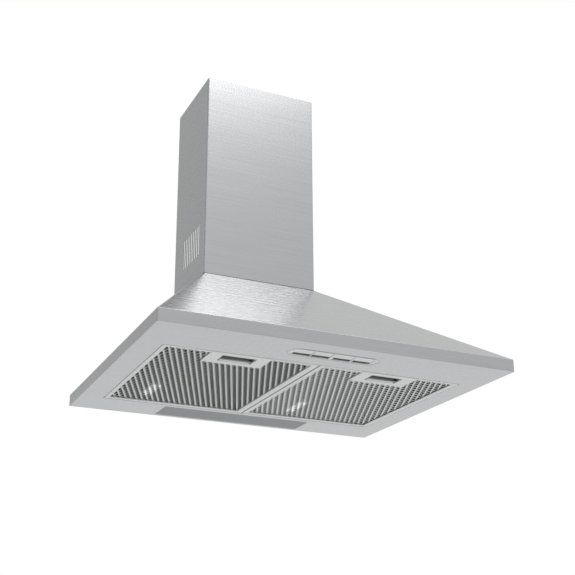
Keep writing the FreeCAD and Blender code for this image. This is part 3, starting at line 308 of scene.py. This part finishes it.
def knitted_aluminium():
    """The fine inner layers: stretched foil of about 3 mm mesh in several sheets, with painted shade in the
    cells between its edges.
    """
    made, tree = blank("knitted_aluminium")
    cells = add(tree, "ShaderNodeTexVoronoi", {"feature": "DISTANCE_TO_EDGE"},
                {"Vector": in_mm(tree, [3.2, 5.5, 3.2]), "Scale": 1.0})
    edge = add(tree, "ShaderNodeMapRange", {}, {"Value": cells, "From Min": 0.2, "From Max": 0.02})
    # painted shade in the cells, the foil's colour on their edges
    net = add(tree, "ShaderNodeMix", {"data_type": "RGBA"},
              {0: edge, MIX_A: linear(LAYER_PAINTED_SHADE), MIX_B: linear(LAYER_FOIL)})
    # painted glint: the inner layers turn pale in the same patches
    colour = add(tree, "ShaderNodeMix", {"data_type": "RGBA"},
                 {0: painted_glint_spot(tree), MIX_A: net.outputs[MIXED], MIX_B: linear("#B8B8B8")})
    return finished(made, {
        "Base Color": colour.outputs[MIXED],
        "Metallic": 0.6,
        "Roughness": add(tree, "ShaderNodeMapRange", {},
                         {"Value": uneven(tree, [2, 2, 2]), **SPREAD, "To Min": 0.5, "To Max": 0.7}),
        "Normal": add(tree, "ShaderNodeBump", {}, {"Height": edge, "Distance": 0.5 * MM}),
    })


def moulded_abs(name, colours, middle, half, depths):
    """Injection-moulded ABS in light grey: satin, with the fine grain of a spark-eroded mould.

    The grain is about 0.1 mm and is drawn at 0.5 mm.  A recess, half to each side of middle in mm, gets
    painted shade: it is darker between the two depths, as the shade inside it.
    """
    made, tree = blank(name)
    clouds = uneven(tree, [35, 35, 35])
    tone = add(tree, "ShaderNodeValToRGB", {"color_ramp": colours}, {"Fac": clouds})
    place = object_axes(tree)
    depth = add(tree, "ShaderNodeMapRange", {},
                {"Value": place["Z"], "From Min": depths[0] * MM, "From Max": depths[1] * MM})
    side = add(tree, "ShaderNodeMath", {"operation": "ABSOLUTE"}, {0: place["X"]})
    away = add(tree, "ShaderNodeMath", {"operation": "SUBTRACT"}, {0: side, 1: middle * MM})
    off = add(tree, "ShaderNodeMath", {"operation": "ABSOLUTE"}, {0: away})
    inside = add(tree, "ShaderNodeMath", {"operation": "LESS_THAN"}, {0: off, 1: half * MM})
    share = add(tree, "ShaderNodeMath", {"operation": "MULTIPLY"}, {0: depth, 1: inside})
    # painted shade: the recess turns grey with depth
    colour = add(tree, "ShaderNodeMix", {"data_type": "RGBA"},
                 {0: share, MIX_A: tone, MIX_B: linear(PAINTED_RECESS_SHADE)})
    return finished(made, {
        "Base Color": colour.outputs[MIXED],
        "Roughness": add(tree, "ShaderNodeMapRange", {},
                         {"Value": uneven(tree, [6, 6, 6]), **SPREAD, "To Min": 0.42, "To Max": 0.52}),
        "IOR": 1.53,
        "Normal": add(tree, "ShaderNodeBump", {},
                      {"Height": uneven(tree, [0.5, 0.5, 0.5]), "Distance": 0.012 * MM}),
    })


def frosted_polycarbonate():
    """The lamp's diffuser, switched off: milky grey, with fine ribs along it that spread the light."""
    made, tree = blank("frosted_polycarbonate")
    clouds = uneven(tree, [40, 12, 12])
    ribs = add(tree, "ShaderNodeTexWave", {"wave_type": "BANDS", "bands_direction": "Y"},
               {"Vector": in_mm(tree, [12.6, 12.6, 12.6]), "Scale": 1.0})
    return finished(made, {
        "Base Color": add(tree, "ShaderNodeValToRGB",
                          {"color_ramp": ("#77787A", "#7F8082")}, {"Fac": clouds}),
        "Roughness": add(tree, "ShaderNodeMapRange", {},
                         {"Value": uneven(tree, [4, 4, 4]), **SPREAD, "To Min": 0.5, "To Max": 0.6}),
        "IOR": 1.585,
        "Normal": add(tree, "ShaderNodeBump", {}, {"Height": ribs.outputs["Fac"], "Distance": 0.08 * MM}),
    })


def moulded_polypropylene():
    """Black moulded polypropylene: slightly waxy, with a faint flow pattern."""
    made, tree = blank("black_polypropylene")
    clouds = uneven(tree, [30, 30, 30])
    return finished(made, {
        "Base Color": add(tree, "ShaderNodeValToRGB",
                          {"color_ramp": ("#26272A", "#2F3033")}, {"Fac": clouds}),
        "Roughness": add(tree, "ShaderNodeMapRange", {},
                         {"Value": uneven(tree, [8, 8, 8]), **SPREAD, "To Min": 0.45, "To Max": 0.58}),
        "IOR": 1.49,
        "Normal": add(tree, "ShaderNodeBump", {},
                      {"Height": uneven(tree, [0.7, 0.7, 0.7]), "Distance": 0.02 * MM}),
    })


def moulded_polyamide():
    """White moulded polyamide of the electrical parts: matt, a little yellow."""
    made, tree = blank("moulded_polyamide")
    clouds = uneven(tree, [20, 20, 20])
    return finished(made, {
        "Base Color": add(tree, "ShaderNodeValToRGB",
                          {"color_ramp": ("#DCDBD4", "#E6E5DF")}, {"Fac": clouds}),
        "Roughness": add(tree, "ShaderNodeMapRange", {},
                         {"Value": uneven(tree, [5, 5, 5]), **SPREAD, "To Min": 0.5, "To Max": 0.62}),
        "IOR": 1.53,
        "Normal": add(tree, "ShaderNodeBump", {},
                      {"Height": uneven(tree, [0.6, 0.6, 0.6]), "Distance": 0.015 * MM}),
    })


def lacquered_board():
    """White-lacquered circuit board; below it the yellow phosphor faces of the light-emitting diodes."""
    made, tree = blank("lacquered_board")
    face = add(tree, "ShaderNodeMath", {"operation": "LESS_THAN"},
               {0: object_axes(tree)["Z"], 1: DIODES_BELOW * MM})
    return finished(made, {
        "Base Color": add(tree, "ShaderNodeValToRGB", {"color_ramp": ("#E9EAE6", "#E8D77A")}, {"Fac": face}),
        "Roughness": add(tree, "ShaderNodeMapRange", {},
                         {"Value": uneven(tree, [3, 3, 3]), **SPREAD, "To Min": 0.3, "To Max": 0.4}),
        "IOR": 1.5,
        "Normal": add(tree, "ShaderNodeBump", {},
                      {"Height": uneven(tree, [1.5, 1.5, 1.5]), "Distance": 0.01 * MM}),
    })


def motor_lacquer():
    """Dark lacquer on the motor's steel can, with the lines of its stacked sheets round it."""
    made, tree = blank("motor_lacquer")
    wave = add(tree, "ShaderNodeTexWave", {"wave_type": "BANDS", "bands_direction": "X"},
               {"Vector": in_mm(tree, [9, 9, 9]), "Scale": 1.0})
    stack = wave.outputs["Fac"]
    return finished(made, {
        "Base Color": add(tree, "ShaderNodeValToRGB",
                          {"color_ramp": ("#3F4143", "#55585A")}, {"Fac": stack}),
        "Metallic": 0.5,
        "Roughness": add(tree, "ShaderNodeMapRange", {},
                         {"Value": uneven(tree, [6, 6, 6]), **SPREAD, "To Min": 0.35, "To Max": 0.5}),
        "Normal": add(tree, "ShaderNodeBump", {}, {"Height": stack, "Distance": 0.15 * MM}),
    })


def ground_steel():
    """Ground steel shaft: bright, with fine marks round it."""
    made, tree = blank("ground_steel")
    marks = uneven(tree, [0.4, 20, 20])
    return finished(made, {
        "Base Color": add(tree, "ShaderNodeValToRGB",
                          {"color_ramp": ("#A9ABAD", "#BDBFC0")}, {"Fac": marks}),
        "Metallic": 1.0,
        "Roughness": add(tree, "ShaderNodeMapRange", {},
                         {"Value": marks, **SPREAD, "To Min": 0.18, "To Max": 0.28}),
        "Normal": add(tree, "ShaderNodeBump", {}, {"Height": marks, "Distance": 0.01 * MM}),
    })


def pvc_sheath():
    """Soft dark PVC round the cables: matt, slightly uneven where it follows the cores."""
    made, tree = blank("pvc_sheath")
    clouds = uneven(tree, [12, 12, 12])
    return finished(made, {
        "Base Color": add(tree, "ShaderNodeValToRGB",
                          {"color_ramp": ("#3A3A3B", "#464647")}, {"Fac": clouds}),
        "Roughness": add(tree, "ShaderNodeMapRange", {},
                         {"Value": uneven(tree, [4, 4, 4]), **SPREAD, "To Min": 0.5, "To Max": 0.65}),
        "IOR": 1.53,
        "Normal": add(tree, "ShaderNodeBump", {},
                      {"Height": uneven(tree, [5, 5, 5]), "Distance": 0.1 * MM}),
    })


ABS_GREYS = ("#C2C3C3", "#CBCCCC")
STEEL = {
    "skin": brushed_steel("brushed_steel_level_grain", [160, 160, 0.9], "#A2A3A4", "#AAABAC"),
    "panel": brushed_steel("brushed_steel_crosswise_grain", [160, 0.9, 160], "#AEAFB0", "#B6B7B8"),
    # painted light: the rail's steel is lighter than the panel's, to make up for the shade that the filter
    # frames cast on it
    "rail": brushed_steel("brushed_steel_rail_painted_light", [160, 0.9, 160], "#C4C5C6", "#CCCDCE"),
}
ABS = {
    "handle": moulded_abs("light_grey_abs_shaded_pocket", ABS_GREYS, FILTER_MID, POCKET_SHADE_HALF, POCKET_SHADE_DEPTHS),
    "well": moulded_abs("light_grey_abs_shaded_well", ABS_GREYS, 0.0, WELL_SHADE_HALF, WELL_SHADE_DEPTHS),
}
FINISHES = {
    "brushed_stainless": STEEL["skin"],
    "zinc_sheet": galvanised_sheet(),
    "steel_screws": plated_screw(),
    "filter_aluminium": filter_aluminium(),
    "light_grey_plastic": ABS["handle"],
    "frosted_cover": frosted_polycarbonate(),
    "dark_plastic": moulded_polypropylene(),
    "white_plastic": moulded_polyamide(),
    "led_board": lacquered_board(),
    "motor_steel": motor_lacquer(),
    "cable_sheath": pvc_sheath(),
}
KNITTED, EXPANDED = knitted_aluminium(), expanded_aluminium()
NODE_FINISHES = {
    "control_bezel": ABS["well"],
    "underside_panel": STEEL["panel"],
    "filter_rail": STEEL["rail"],
    "filter_layers_left": KNITTED,
    "filter_layers_right": KNITTED,
    "filter_mesh_left": EXPANDED,
    "filter_mesh_right": EXPANDED,
    "motor_shaft": ground_steel(),
}


# ------------------------------------------------------------------ what the record says

record = frame["record"]
BODY_OF = {node: body for body, nodes in record["behaviour"]["bodies"].items() for node in nodes}
SLOT_OF = {row["node"]: row["material_slot"] for row in record["subparts"]}


def finish_of(node):
    """A node's own finish, or else its slot's."""
    return NODE_FINISHES.get(node, FINISHES[SLOT_OF[node]])


def paint_nodes():
    """Gives each of the solids its finish."""
    for name, node in frame["nodes"].items():
        node.data.materials.clear()
        node.data.materials.append(finish_of(name))


# ------------------------------------------------------------------ softened sheet metal and mouldings

def flats_of(*nodes):
    """The nodes' solids in one bmesh, each with its triangles joined into flats."""
    whole = bmesh.new()
    for node in nodes:
        part = bmesh.new()
        part.from_mesh(frame["nodes"][node].data)
        bmesh.ops.remove_doubles(part, verts=part.verts, dist=MERGE)
        bmesh.ops.dissolve_limit(part, angle_limit=FLAT, verts=part.verts, edges=part.edges)
        mesh = mesh_of(node, part)
        whole.from_mesh(mesh)
        bpy.data.meshes.remove(mesh)
    return whole


def strip(whole, low, high):
    """A band of faces between two rows of vertices."""
    for corners in zip(low, low[1:], high[1:], high):
        whole.faces.new(corners)


def carried(name, mesh, nodes):
    """A piece on its CAD body that stands for nodes."""
    mesh.name = name
    piece = in_scene(name, mesh)
    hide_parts(*nodes)
    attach(piece, BODY_OF[nodes[0]])


def smooth_piece(name, whole, nodes):
    """A piece from a bmesh: rounded edges shade round, and flats stay flat."""
    sharp = mesh_of(name, whole)
    sharp.shade_smooth()
    sharp.set_sharp_from_angle(angle=SHARP)
    maker = in_scene(name, sharp)
    weighting = maker.modifiers.new("flats stay flat", "WEIGHTED_NORMAL")
    weighting.keep_sharp = True
    smooth = plain_mesh(maker)
    smooth.materials.clear()
    smooth.materials.append(finish_of(nodes[0]))
    carried(name, smooth, nodes)


def near(value, target):
    """Two lengths in mm that differ by no more than rounding."""
    return abs(value - target) < TOLERANCE


def all_at(verts, axis, level):
    """Vertices that all lie at a level along an axis, in mm."""
    return all(near(vert.co[axis] / MM, level) for vert in verts)


def outward(edge):
    """Sharp outward edges."""
    return len(edge.link_faces) == 2 and edge.is_convex and edge.calc_face_angle() > SHARP


def lower_outward(edge):
    """Sharp outward edges in the underside's plane."""
    return outward(edge) and all_at(edge.verts, AXIS_Z, 0)


def window_edge(edge):
    """The lower edges of a filter frame round its window."""
    return lower_outward(edge) and all(
        FILTER_IN + CUT_EDGE < abs(v.co.x) / MM < FILTER_OUT - CUT_EDGE
        and FILTER_FRONT + CUT_EDGE < v.co.y / MM < FILTER_REAR - CUT_EDGE for v in edge.verts)


def fold_points(side, half, front, radius):
    """The bend between a side of the sheet, at half its width, and its front: (x, y) in mm, side first."""
    return [(side * (half - radius + radius * math.cos(angle)), front + radius - radius * math.sin(angle))
            for angle in FOLD_ANGLES]


def canopy_reach(z):
    """Half the canopy's width and its front at a level, in mm."""
    rise = max(0.0, z - FASCIA) / (CANOPY_TOP - FASCIA)
    return WIDTH / 2 - rise * (WIDTH - CHIMNEY_W) / 2, -DEPTH + rise * (DEPTH - CHIMNEY_D)


def canopy_ring(whole, z, level, inset, radius):
    """Vertices at z round the canopy, as wide as it is at level, less an inset; its front corners are round.

    They go from the left of the wall to its right.
    """
    half, front = canopy_reach(level)
    left, right = (fold_points(side, half - inset, front + inset, radius) for side in (-1, 1))
    ring = [(inset - half, 0), *left, *right[::-1], (half - inset, 0)]
    return [whole.verts.new(Vector((x, y, z)) * MM) for x, y in ring]


def canopy_outside(face):
    """The faces of the canopy that are drawn anew: its outer skin, its lower rim and the mitres."""
    if min(abs(face.normal.x), abs(face.normal.y)) > MITRE_SLANT:
        return True
    skin = rim = True
    for vert in face.verts:
        x, y, z = (c / MM for c in vert.co)
        half, front = canopy_reach(z)
        skin = skin and (near(abs(x), half) or near(y, front))
        rim = rim and near(z, 0) and (abs(x) > WIDTH / 2 - SHEET - TOLERANCE or y < SHEET + TOLERANCE - DEPTH)
    return rim or (skin and abs(face.normal.z) < LEVEL)


def canopy_skin():
    """The canopy's sheets with their outer side drawn anew: rounded folds, and a hem rolled under."""
    nodes = ["canopy_front", "canopy_side_left", "canopy_side_right"]
    whole = flats_of(*nodes)
    outside = [face for face in whole.faces if canopy_outside(face)]
    bmesh.ops.delete(whole, geom=outside, context="FACES")
    # each ring: its height, the level that it is as wide as, its inset and its corners' radius
    rings = [(0, 0, SHEET, HEM)]
    rings += [(HEM * (1 - math.cos(angle)), 0, HEM * (1 - math.sin(angle)), FOLD) for angle in FOLD_ANGLES]
    rings += [(FASCIA + FASCIA_FOLD * (2 * share - 1), FASCIA + FASCIA_FOLD * share * share, 0, FOLD)
              for share in FOLD_SHARES]
    rings.append((CANOPY_TOP - SHEET, CANOPY_TOP - SHEET, 0, FOLD))
    rows = [canopy_ring(whole, *ring) for ring in rings]
    for low, high in zip(rows, rows[1:]):
        strip(whole, low, high)
    smooth_piece("canopy_skin", whole, nodes)


def chimney_rim(whole, kept, z):
    """The chimney cover's rim at a level, with round folds, drawn between the vertices kept by place in mm.

    Gives its outer vertices from the left of the wall to its right.
    """
    half, inner = CHIMNEY_W / 2, CHIMNEY_W / 2 - SHEET
    places = ((half, -CHIMNEY_D), (inner, SHEET - CHIMNEY_D), (half, 0), (inner, -SHEET),
              (CHIMNEY_LIP, -SHEET), (CHIMNEY_LIP, 0))
    bends, insides = [], []
    for side in (-1, 1):
        corner, inside, rear, rear_inside, lip_inside, lip_end = (
            kept[round(side * x), round(y), round(z)] for x, y in places)
        (_, bend_start), *others = fold_points(side, half, -CHIMNEY_D, FOLD)
        corner.co.y = bend_start * MM
        bend = [corner, *(whole.verts.new(Vector((x, y, z)) * MM) for x, y in others)]
        for pair in zip(bend, bend[1:]):
            whole.faces.new((*pair, inside))
        whole.faces.new((rear, corner, inside, rear_inside))
        whole.faces.new((rear, rear_inside, lip_inside, lip_end))
        bends.append(bend)
        insides.append(inside)
    left, right = bends
    whole.faces.new((left[-1], right[-1], *insides[::-1]))
    return left + right[::-1]


def chimney_cover():
    """The lower chimney cover with its two upright folds drawn round, and its foot clear of the canopy."""
    whole = flats_of("chimney_lower")
    flats = ((AXIS_Y, -CHIMNEY_D), (AXIS_Z, CANOPY_TOP), (AXIS_Z, CHIMNEY_TOP))
    redrawn = [face for face in whole.faces if any(all_at(face.verts, *flat) for flat in flats)]
    bmesh.ops.delete(whole, geom=redrawn, context="FACES")
    kept = {tuple(round(c / MM) for c in vert.co): vert for vert in whole.verts}
    foot_rim, top_rim = (chimney_rim(whole, kept, z) for z in (CANOPY_TOP, CHIMNEY_TOP))
    strip(whole, foot_rim, top_rim)
    bmesh.ops.recalc_face_normals(whole, faces=whole.faces)
    foot = [vert for vert in whole.verts if near(vert.co.z / MM, CANOPY_TOP)]
    bmesh.ops.translate(whole, verts=foot, vec=(0, 0, FOOT_GAP * MM))
    smooth_piece("chimney_cover", whole, ["chimney_lower"])


def softened(name, node, *roundings):
    """A node's solid with its edges rounded: each rounding is which edges, and their radius."""
    whole = flats_of(node)
    for chosen, radius in roundings:
        bmesh.ops.bevel(whole, geom=[edge for edge in whole.edges if chosen(edge)], offset=radius * MM,
                        offset_type="OFFSET", segments=EDGE_STEPS, profile=0.5, affect="EDGES",
                        clamp_overlap=True, loop_slide=True)
    smooth_piece(name, whole, [node])


def softened_pieces():
    """The underside's sheet, the mouldings in it, and both filters' frames, handles and latches."""
    softened("underside_sheet", "underside_panel", (lower_outward, CUT_EDGE))
    softened("key_well", "control_bezel", (outward, MOULDED_EDGE))
    softened("lamp_diffuser", "lamp_cover", (outward, MOULDED_EDGE))
    for side in ("left", "right"):
        softened(f"grease_filter_frame_{side}", f"filter_frame_{side}", (window_edge, ROLLED_EDGE),
                 (outward, CUT_EDGE))
        softened(f"grease_filter_handle_{side}", f"filter_handle_{side}", (outward, MOULDED_EDGE))
        softened(f"grease_filter_latch_{side}", f"filter_latch_{side}", (outward, MOULDED_EDGE))


# ------------------------------------------------------------------ expanded metal

def group_input(tree, name, kind, value):
    """A named input of the tree; gives its identifier."""
    socket = tree.interface.new_socket(name, in_out="INPUT", socket_type=kind)
    socket.default_value = value
    return socket.identifier


def strand(tree, given, start):
    """One zigzag strand along Y, from start to the rear, its flat face leaning from side to side."""
    line = add(tree, "GeometryNodeCurvePrimitiveLine", {}, {"Start": start, "End": given["Rear"]})
    length = add(tree, "ShaderNodeVectorMath", {"operation": "DISTANCE"}, {0: start, 1: given["Rear"]})
    steps = add(tree, "ShaderNodeMath", {"operation": "DIVIDE"},
                {0: length.outputs["Value"], 1: given["Step"]})
    count = add(tree, "ShaderNodeMath", {"operation": "ADD"}, {0: steps, 1: POINTS_PAST_STEPS})
    points = add(tree, "GeometryNodeResampleCurve", {}, {"Curve": line, "Count": count})
    here = add(tree, "GeometryNodeInputPosition", {}, {})
    y = add(tree, "ShaderNodeSeparateXYZ", {}, {"Vector": here}).outputs["Y"]
    slope = add(tree, "ShaderNodeMath", {"operation": "DIVIDE"}, {0: given["Pitch"], 1: given["Row"]})
    along = add(tree, "ShaderNodeMath", {"operation": "MULTIPLY"}, {0: y, 1: slope})
    half = add(tree, "ShaderNodeMath", {"operation": "MULTIPLY"}, {0: along, 1: 0.5})
    swing = add(tree, "ShaderNodeMath", {"operation": "MULTIPLY"}, {0: given["Pitch"], 1: 0.5})
    zigzag = add(tree, "ShaderNodeMath", {"operation": "PINGPONG"}, {0: half, 1: swing})
    offset = add(tree, "ShaderNodeCombineXYZ", {}, {"X": zigzag})
    bent = add(tree, "GeometryNodeSetPosition", {}, {"Geometry": points, "Offset": offset})
    level = add(tree, "GeometryNodeSetCurveNormal", {"mode": "Z_UP"}, {"Curve": bent})
    leaning = add(tree, "GeometryNodeSetCurveTilt", {}, {"Curve": level, "Tilt": given["Lean"]})
    section = add(tree, "GeometryNodeCurvePrimitiveQuadrilateral", {},
                  {"Width": given["Strand Width"], "Height": given["Thickness"]})
    return add(tree, "GeometryNodeCurveToMesh", {},
               {"Curve": leaning, "Profile Curve": section, "Fill Caps": True})


def expanded_metal_tree(finish):
    """Zigzag strands side by side, every second one turned over, so that they close into diamonds.

    Those behind the handle start behind its plate.
    """
    tree = bpy.data.node_groups.new("expanded_metal", "GeometryNodeTree")
    sizes = {
        "Columns": ("NodeSocketInt", MESH_COLUMNS),
        "Pitch": ("NodeSocketFloat", MESH_PITCH * MM),
        "Row": ("NodeSocketFloat", MESH_ROW * MM),
        "Step": ("NodeSocketFloat", MESH_STEP * MM),
        "Strand Width": ("NodeSocketFloat", MESH_STRAND * MM),
        "Thickness": ("NodeSocketFloat", MESH_THICK * MM),
        "Lean": ("NodeSocketFloat", 0.0),
        "Front": ("NodeSocketVector", (0, MESH_FRONT * MM, 0)),
        "Behind Handle": ("NodeSocketVector", (0, MESH_BEHIND_HANDLE * MM, 0)),
        "Rear": ("NodeSocketVector", (0, MESH_REAR * MM, 0)),
        "Handle Half": ("NodeSocketFloat", (HANDLE_HALF - UNDER_HANDLE) * MM),
    }
    identifiers = {name: group_input(tree, name, kind, value) for name, (kind, value) in sizes.items()}
    tree.interface.new_socket("Mesh", in_out="OUTPUT", socket_type="NodeSocketGeometry")
    given = add(tree, "NodeGroupInput", {}, {}).outputs
    index = add(tree, "GeometryNodeInputIndex", {}, {})
    half_index = add(tree, "ShaderNodeMath", {"operation": "MULTIPLY"}, {0: index, 1: 0.5})
    column = add(tree, "ShaderNodeMath", {"operation": "FLOOR"}, {0: half_index})
    odd = add(tree, "ShaderNodeMath", {"operation": "MODULO"}, {0: index, 1: 2.0})
    middle = add(tree, "ShaderNodeMath", {"operation": "MULTIPLY_ADD"},
                 {0: given["Columns"], 1: -0.5, 2: 0.5})
    centred = add(tree, "ShaderNodeMath", {"operation": "ADD"}, {0: column, 1: middle})
    x = add(tree, "ShaderNodeMath", {"operation": "MULTIPLY"}, {0: centred, 1: given["Pitch"]})
    place = add(tree, "ShaderNodeCombineXYZ", {}, {"X": x})
    count = add(tree, "ShaderNodeMath", {"operation": "MULTIPLY"}, {0: given["Columns"], 1: 2.0})
    points = add(tree, "GeometryNodePoints", {}, {"Count": count, "Position": place})
    turned = add(tree, "ShaderNodeMath", {"operation": "MULTIPLY"}, {0: odd, 1: math.pi})
    turn = add(tree, "ShaderNodeCombineXYZ", {}, {"Y": turned})
    rotation = add(tree, "FunctionNodeEulerToRotation", {}, {"Euler": turn})
    aside = add(tree, "ShaderNodeMath", {"operation": "ABSOLUTE"}, {0: x})
    beside = add(tree, "ShaderNodeMath", {"operation": "GREATER_THAN"}, {0: aside, 1: given["Handle Half"]})
    behind = add(tree, "ShaderNodeMath", {"operation": "SUBTRACT"}, {0: 1.0, 1: beside})
    joined = add(tree, "GeometryNodeJoinGeometry", {}, {})
    for start, chosen in (("Front", beside), ("Behind Handle", behind)):
        laid = add(tree, "GeometryNodeInstanceOnPoints", {},
                   {"Points": points, "Selection": chosen, "Instance": strand(tree, given, given[start]),
                    "Rotation": rotation})
        tree.links.new(laid.outputs["Instances"], joined.inputs["Geometry"])
    real = add(tree, "GeometryNodeRealizeInstances", {}, {"Geometry": joined})
    painted = add(tree, "GeometryNodeSetMaterial", {}, {"Geometry": real, "Material": finish})
    add(tree, "NodeGroupOutput", {}, {"Mesh": painted})
    return tree, identifiers


def expanded_metal():
    """The metal face of each filter, with its own lean."""
    tree, identifiers = expanded_metal_tree(EXPANDED)
    for side, way in (("left", -1), ("right", 1)):
        maker = in_scene("mesh_maker", bpy.data.meshes.new("mesh_maker"))
        strands = maker.modifiers.new("expanded metal", "NODES")
        strands.node_group = tree
        strands[identifiers["Lean"]] = math.radians(MESH_LEANS[side])
        mesh = plain_mesh(maker)
        mesh.transform(Matrix.Translation((way * FILTER_MID * MM, 0, MESH_MIDDLE_Z * MM)))
        carried(f"expanded_metal_{side}", mesh, [f"filter_mesh_{side}"])


# ------------------------------------------------------------------ camera, floor and light

def photograph_camera():
    """The photograph's viewpoint: low, in front and to the left, looking up at the underside."""
    data = bpy.data.cameras.new("camera")
    data.lens, data.sensor_width = CAMERA_LENS, CAMERA_SENSOR
    data.shift_x, data.shift_y = CAMERA_SHIFT
    camera = in_scene("camera", data)
    camera.location = Vector(CAMERA_PLACE) * MM
    camera.rotation_euler = Euler((math.pi / 2 + math.radians(CAMERA_ELEVATION), 0,
                                   -math.radians(CAMERA_AZIMUTH)))
    bpy.context.scene.camera = camera


def straight_rays(tree):
    """1 for rays that show the surroundings as such: to the camera, or by gloss or glass."""
    path = add(tree, "ShaderNodeLightPath", {}, {}).outputs
    gloss = add(tree, "ShaderNodeMath", {"operation": "MAXIMUM"},
                {0: path["Is Camera Ray"], 1: path["Is Glossy Ray"]})
    return add(tree, "ShaderNodeMath", {"operation": "MAXIMUM"}, {0: gloss, 1: path["Is Transmission Ray"]})


def white_surroundings():
    """White where it is seen, and a plain soft light on everything else."""
    world = bpy.data.worlds.new("studio")
    bpy.context.scene.world = world
    world.use_nodes = True
    tree = world.node_tree
    tree.nodes.clear()
    soft = add(tree, "ShaderNodeBackground", {}, {"Color": WHITE, "Strength": WORLD_LEVEL})
    seen = add(tree, "ShaderNodeBackground", {}, {"Color": WHITE, "Strength": 1.0})
    mixed = add(tree, "ShaderNodeMixShader", {}, {0: straight_rays(tree), 1: soft, 2: seen})
    add(tree, "ShaderNodeOutputWorld", {}, {"Surface": mixed})


def pale_floor():
    """A round of pale floor, as far below as a kitchen's; it fades into the white surroundings."""
    made, tree = blank("pale_floor")
    place = add(tree, "ShaderNodeTexCoord", {}, {})
    flat = add(tree, "ShaderNodeMapping", {}, {"Vector": place.outputs["Object"], "Scale": (1, 1, 0)})
    radius = add(tree, "ShaderNodeVectorMath", {"operation": "LENGTH"}, {0: flat})
    far = add(tree, "ShaderNodeMapRange", {},
              {"Value": radius.outputs["Value"], "From Min": FLOOR_FADE[0], "From Max": FLOOR_FADE[1]})
    share = add(tree, "ShaderNodeMath", {"operation": "MULTIPLY"}, {0: far, 1: straight_rays(tree)})
    matt = add(tree, "ShaderNodeBsdfDiffuse", {}, {"Color": linear(FLOOR_COLOUR)})
    white = add(tree, "ShaderNodeEmission", {}, {"Color": WHITE, "Strength": 1.0})
    mixed = add(tree, "ShaderNodeMixShader", {}, {0: share, 1: matt, 2: white})
    add(tree, "ShaderNodeOutputMaterial", {}, {"Surface": mixed})
    shape = bmesh.new()
    bmesh.ops.create_circle(shape, cap_ends=True, segments=FLOOR_CORNERS, radius=FLOOR_RADIUS)
    bmesh.ops.translate(shape, verts=shape.verts, vec=(0, 0, FLOOR_Z))
    mesh = mesh_of("floor", shape)
    mesh.materials.append(made)
    in_scene("floor", mesh)


def softbox(name, azimuth, elevation, distance, size, level):
    """A rectangular lamp whose face has the given radiance, turned to the hood; azimuth 180 is in front."""
    turn, rise = math.radians(azimuth), math.radians(elevation)
    data = bpy.data.lights.new(name, "AREA")
    data.shape, data.size, data.size_y = "RECTANGLE", size[0], size[1]
    data.energy = level * math.pi * size[0] * size[1]
    lamp = in_scene(name, data)
    way = Vector((math.sin(turn) * math.cos(rise), math.cos(turn) * math.cos(rise), math.sin(rise)))
    lamp.location = HOOD_MIDDLE + way * distance
    lamp.rotation_mode = "QUATERNION"
    lamp.rotation_quaternion = way.to_track_quat("Z", "Y")
    lamp.visible_camera = False


def mirrored_only(name, ends, heights, made):
    """An upright screen that only the steel's mirror images show; its ends are (x, y) seen from above."""
    mesh = bpy.data.meshes.new(name)
    mesh.from_pydata([(x, y, z) for z in heights for x, y in ends], [], [(0, 1, 3, 2)])
    mesh.materials.append(made)
    screen = in_scene(name, mesh)
    screen.visible_camera = False
    return screen


def dark_flag():
    """A narrow dark flag to the left, which the chimney's rounded front corner mirrors as a thin line."""
    made, _ = blank("dark_flag")
    flag = mirrored_only("flag", FLAG_ENDS, FLAG_HEIGHTS, glowing(made, FLAG_LEVEL))
    flag.visible_diffuse = flag.visible_shadow = False


def grey_screen():
    """A tall grey screen behind the hood, out of the camera's sight, which the steel's left side mirrors."""
    made, tree = blank("grey_screen")
    level = add(tree, "ShaderNodeMapRange", {},
                {"Value": object_axes(tree)["X"], "From Min": SCREEN_TURN[0], "From Max": SCREEN_TURN[1],
                 "To Min": SCREEN_LEVELS[0], "To Max": SCREEN_LEVELS[1]})
    mirrored_only("screen", SCREEN_ENDS, SCREEN_HEIGHTS, glowing(made, level))


def studio():
    """White surroundings, a pale floor, what the steel mirrors, and two softboxes."""
    white_surroundings()
    pale_floor()
    grey_screen()
    dark_flag()
    for name, settings in SOFTBOXES.items():
        softbox(name, *settings)


bpy.context.scene.view_settings.view_transform = "Standard"
photograph_camera()
paint_nodes()
canopy_skin()
chimney_cover()
softened_pieces()
expanded_metal()
studio()
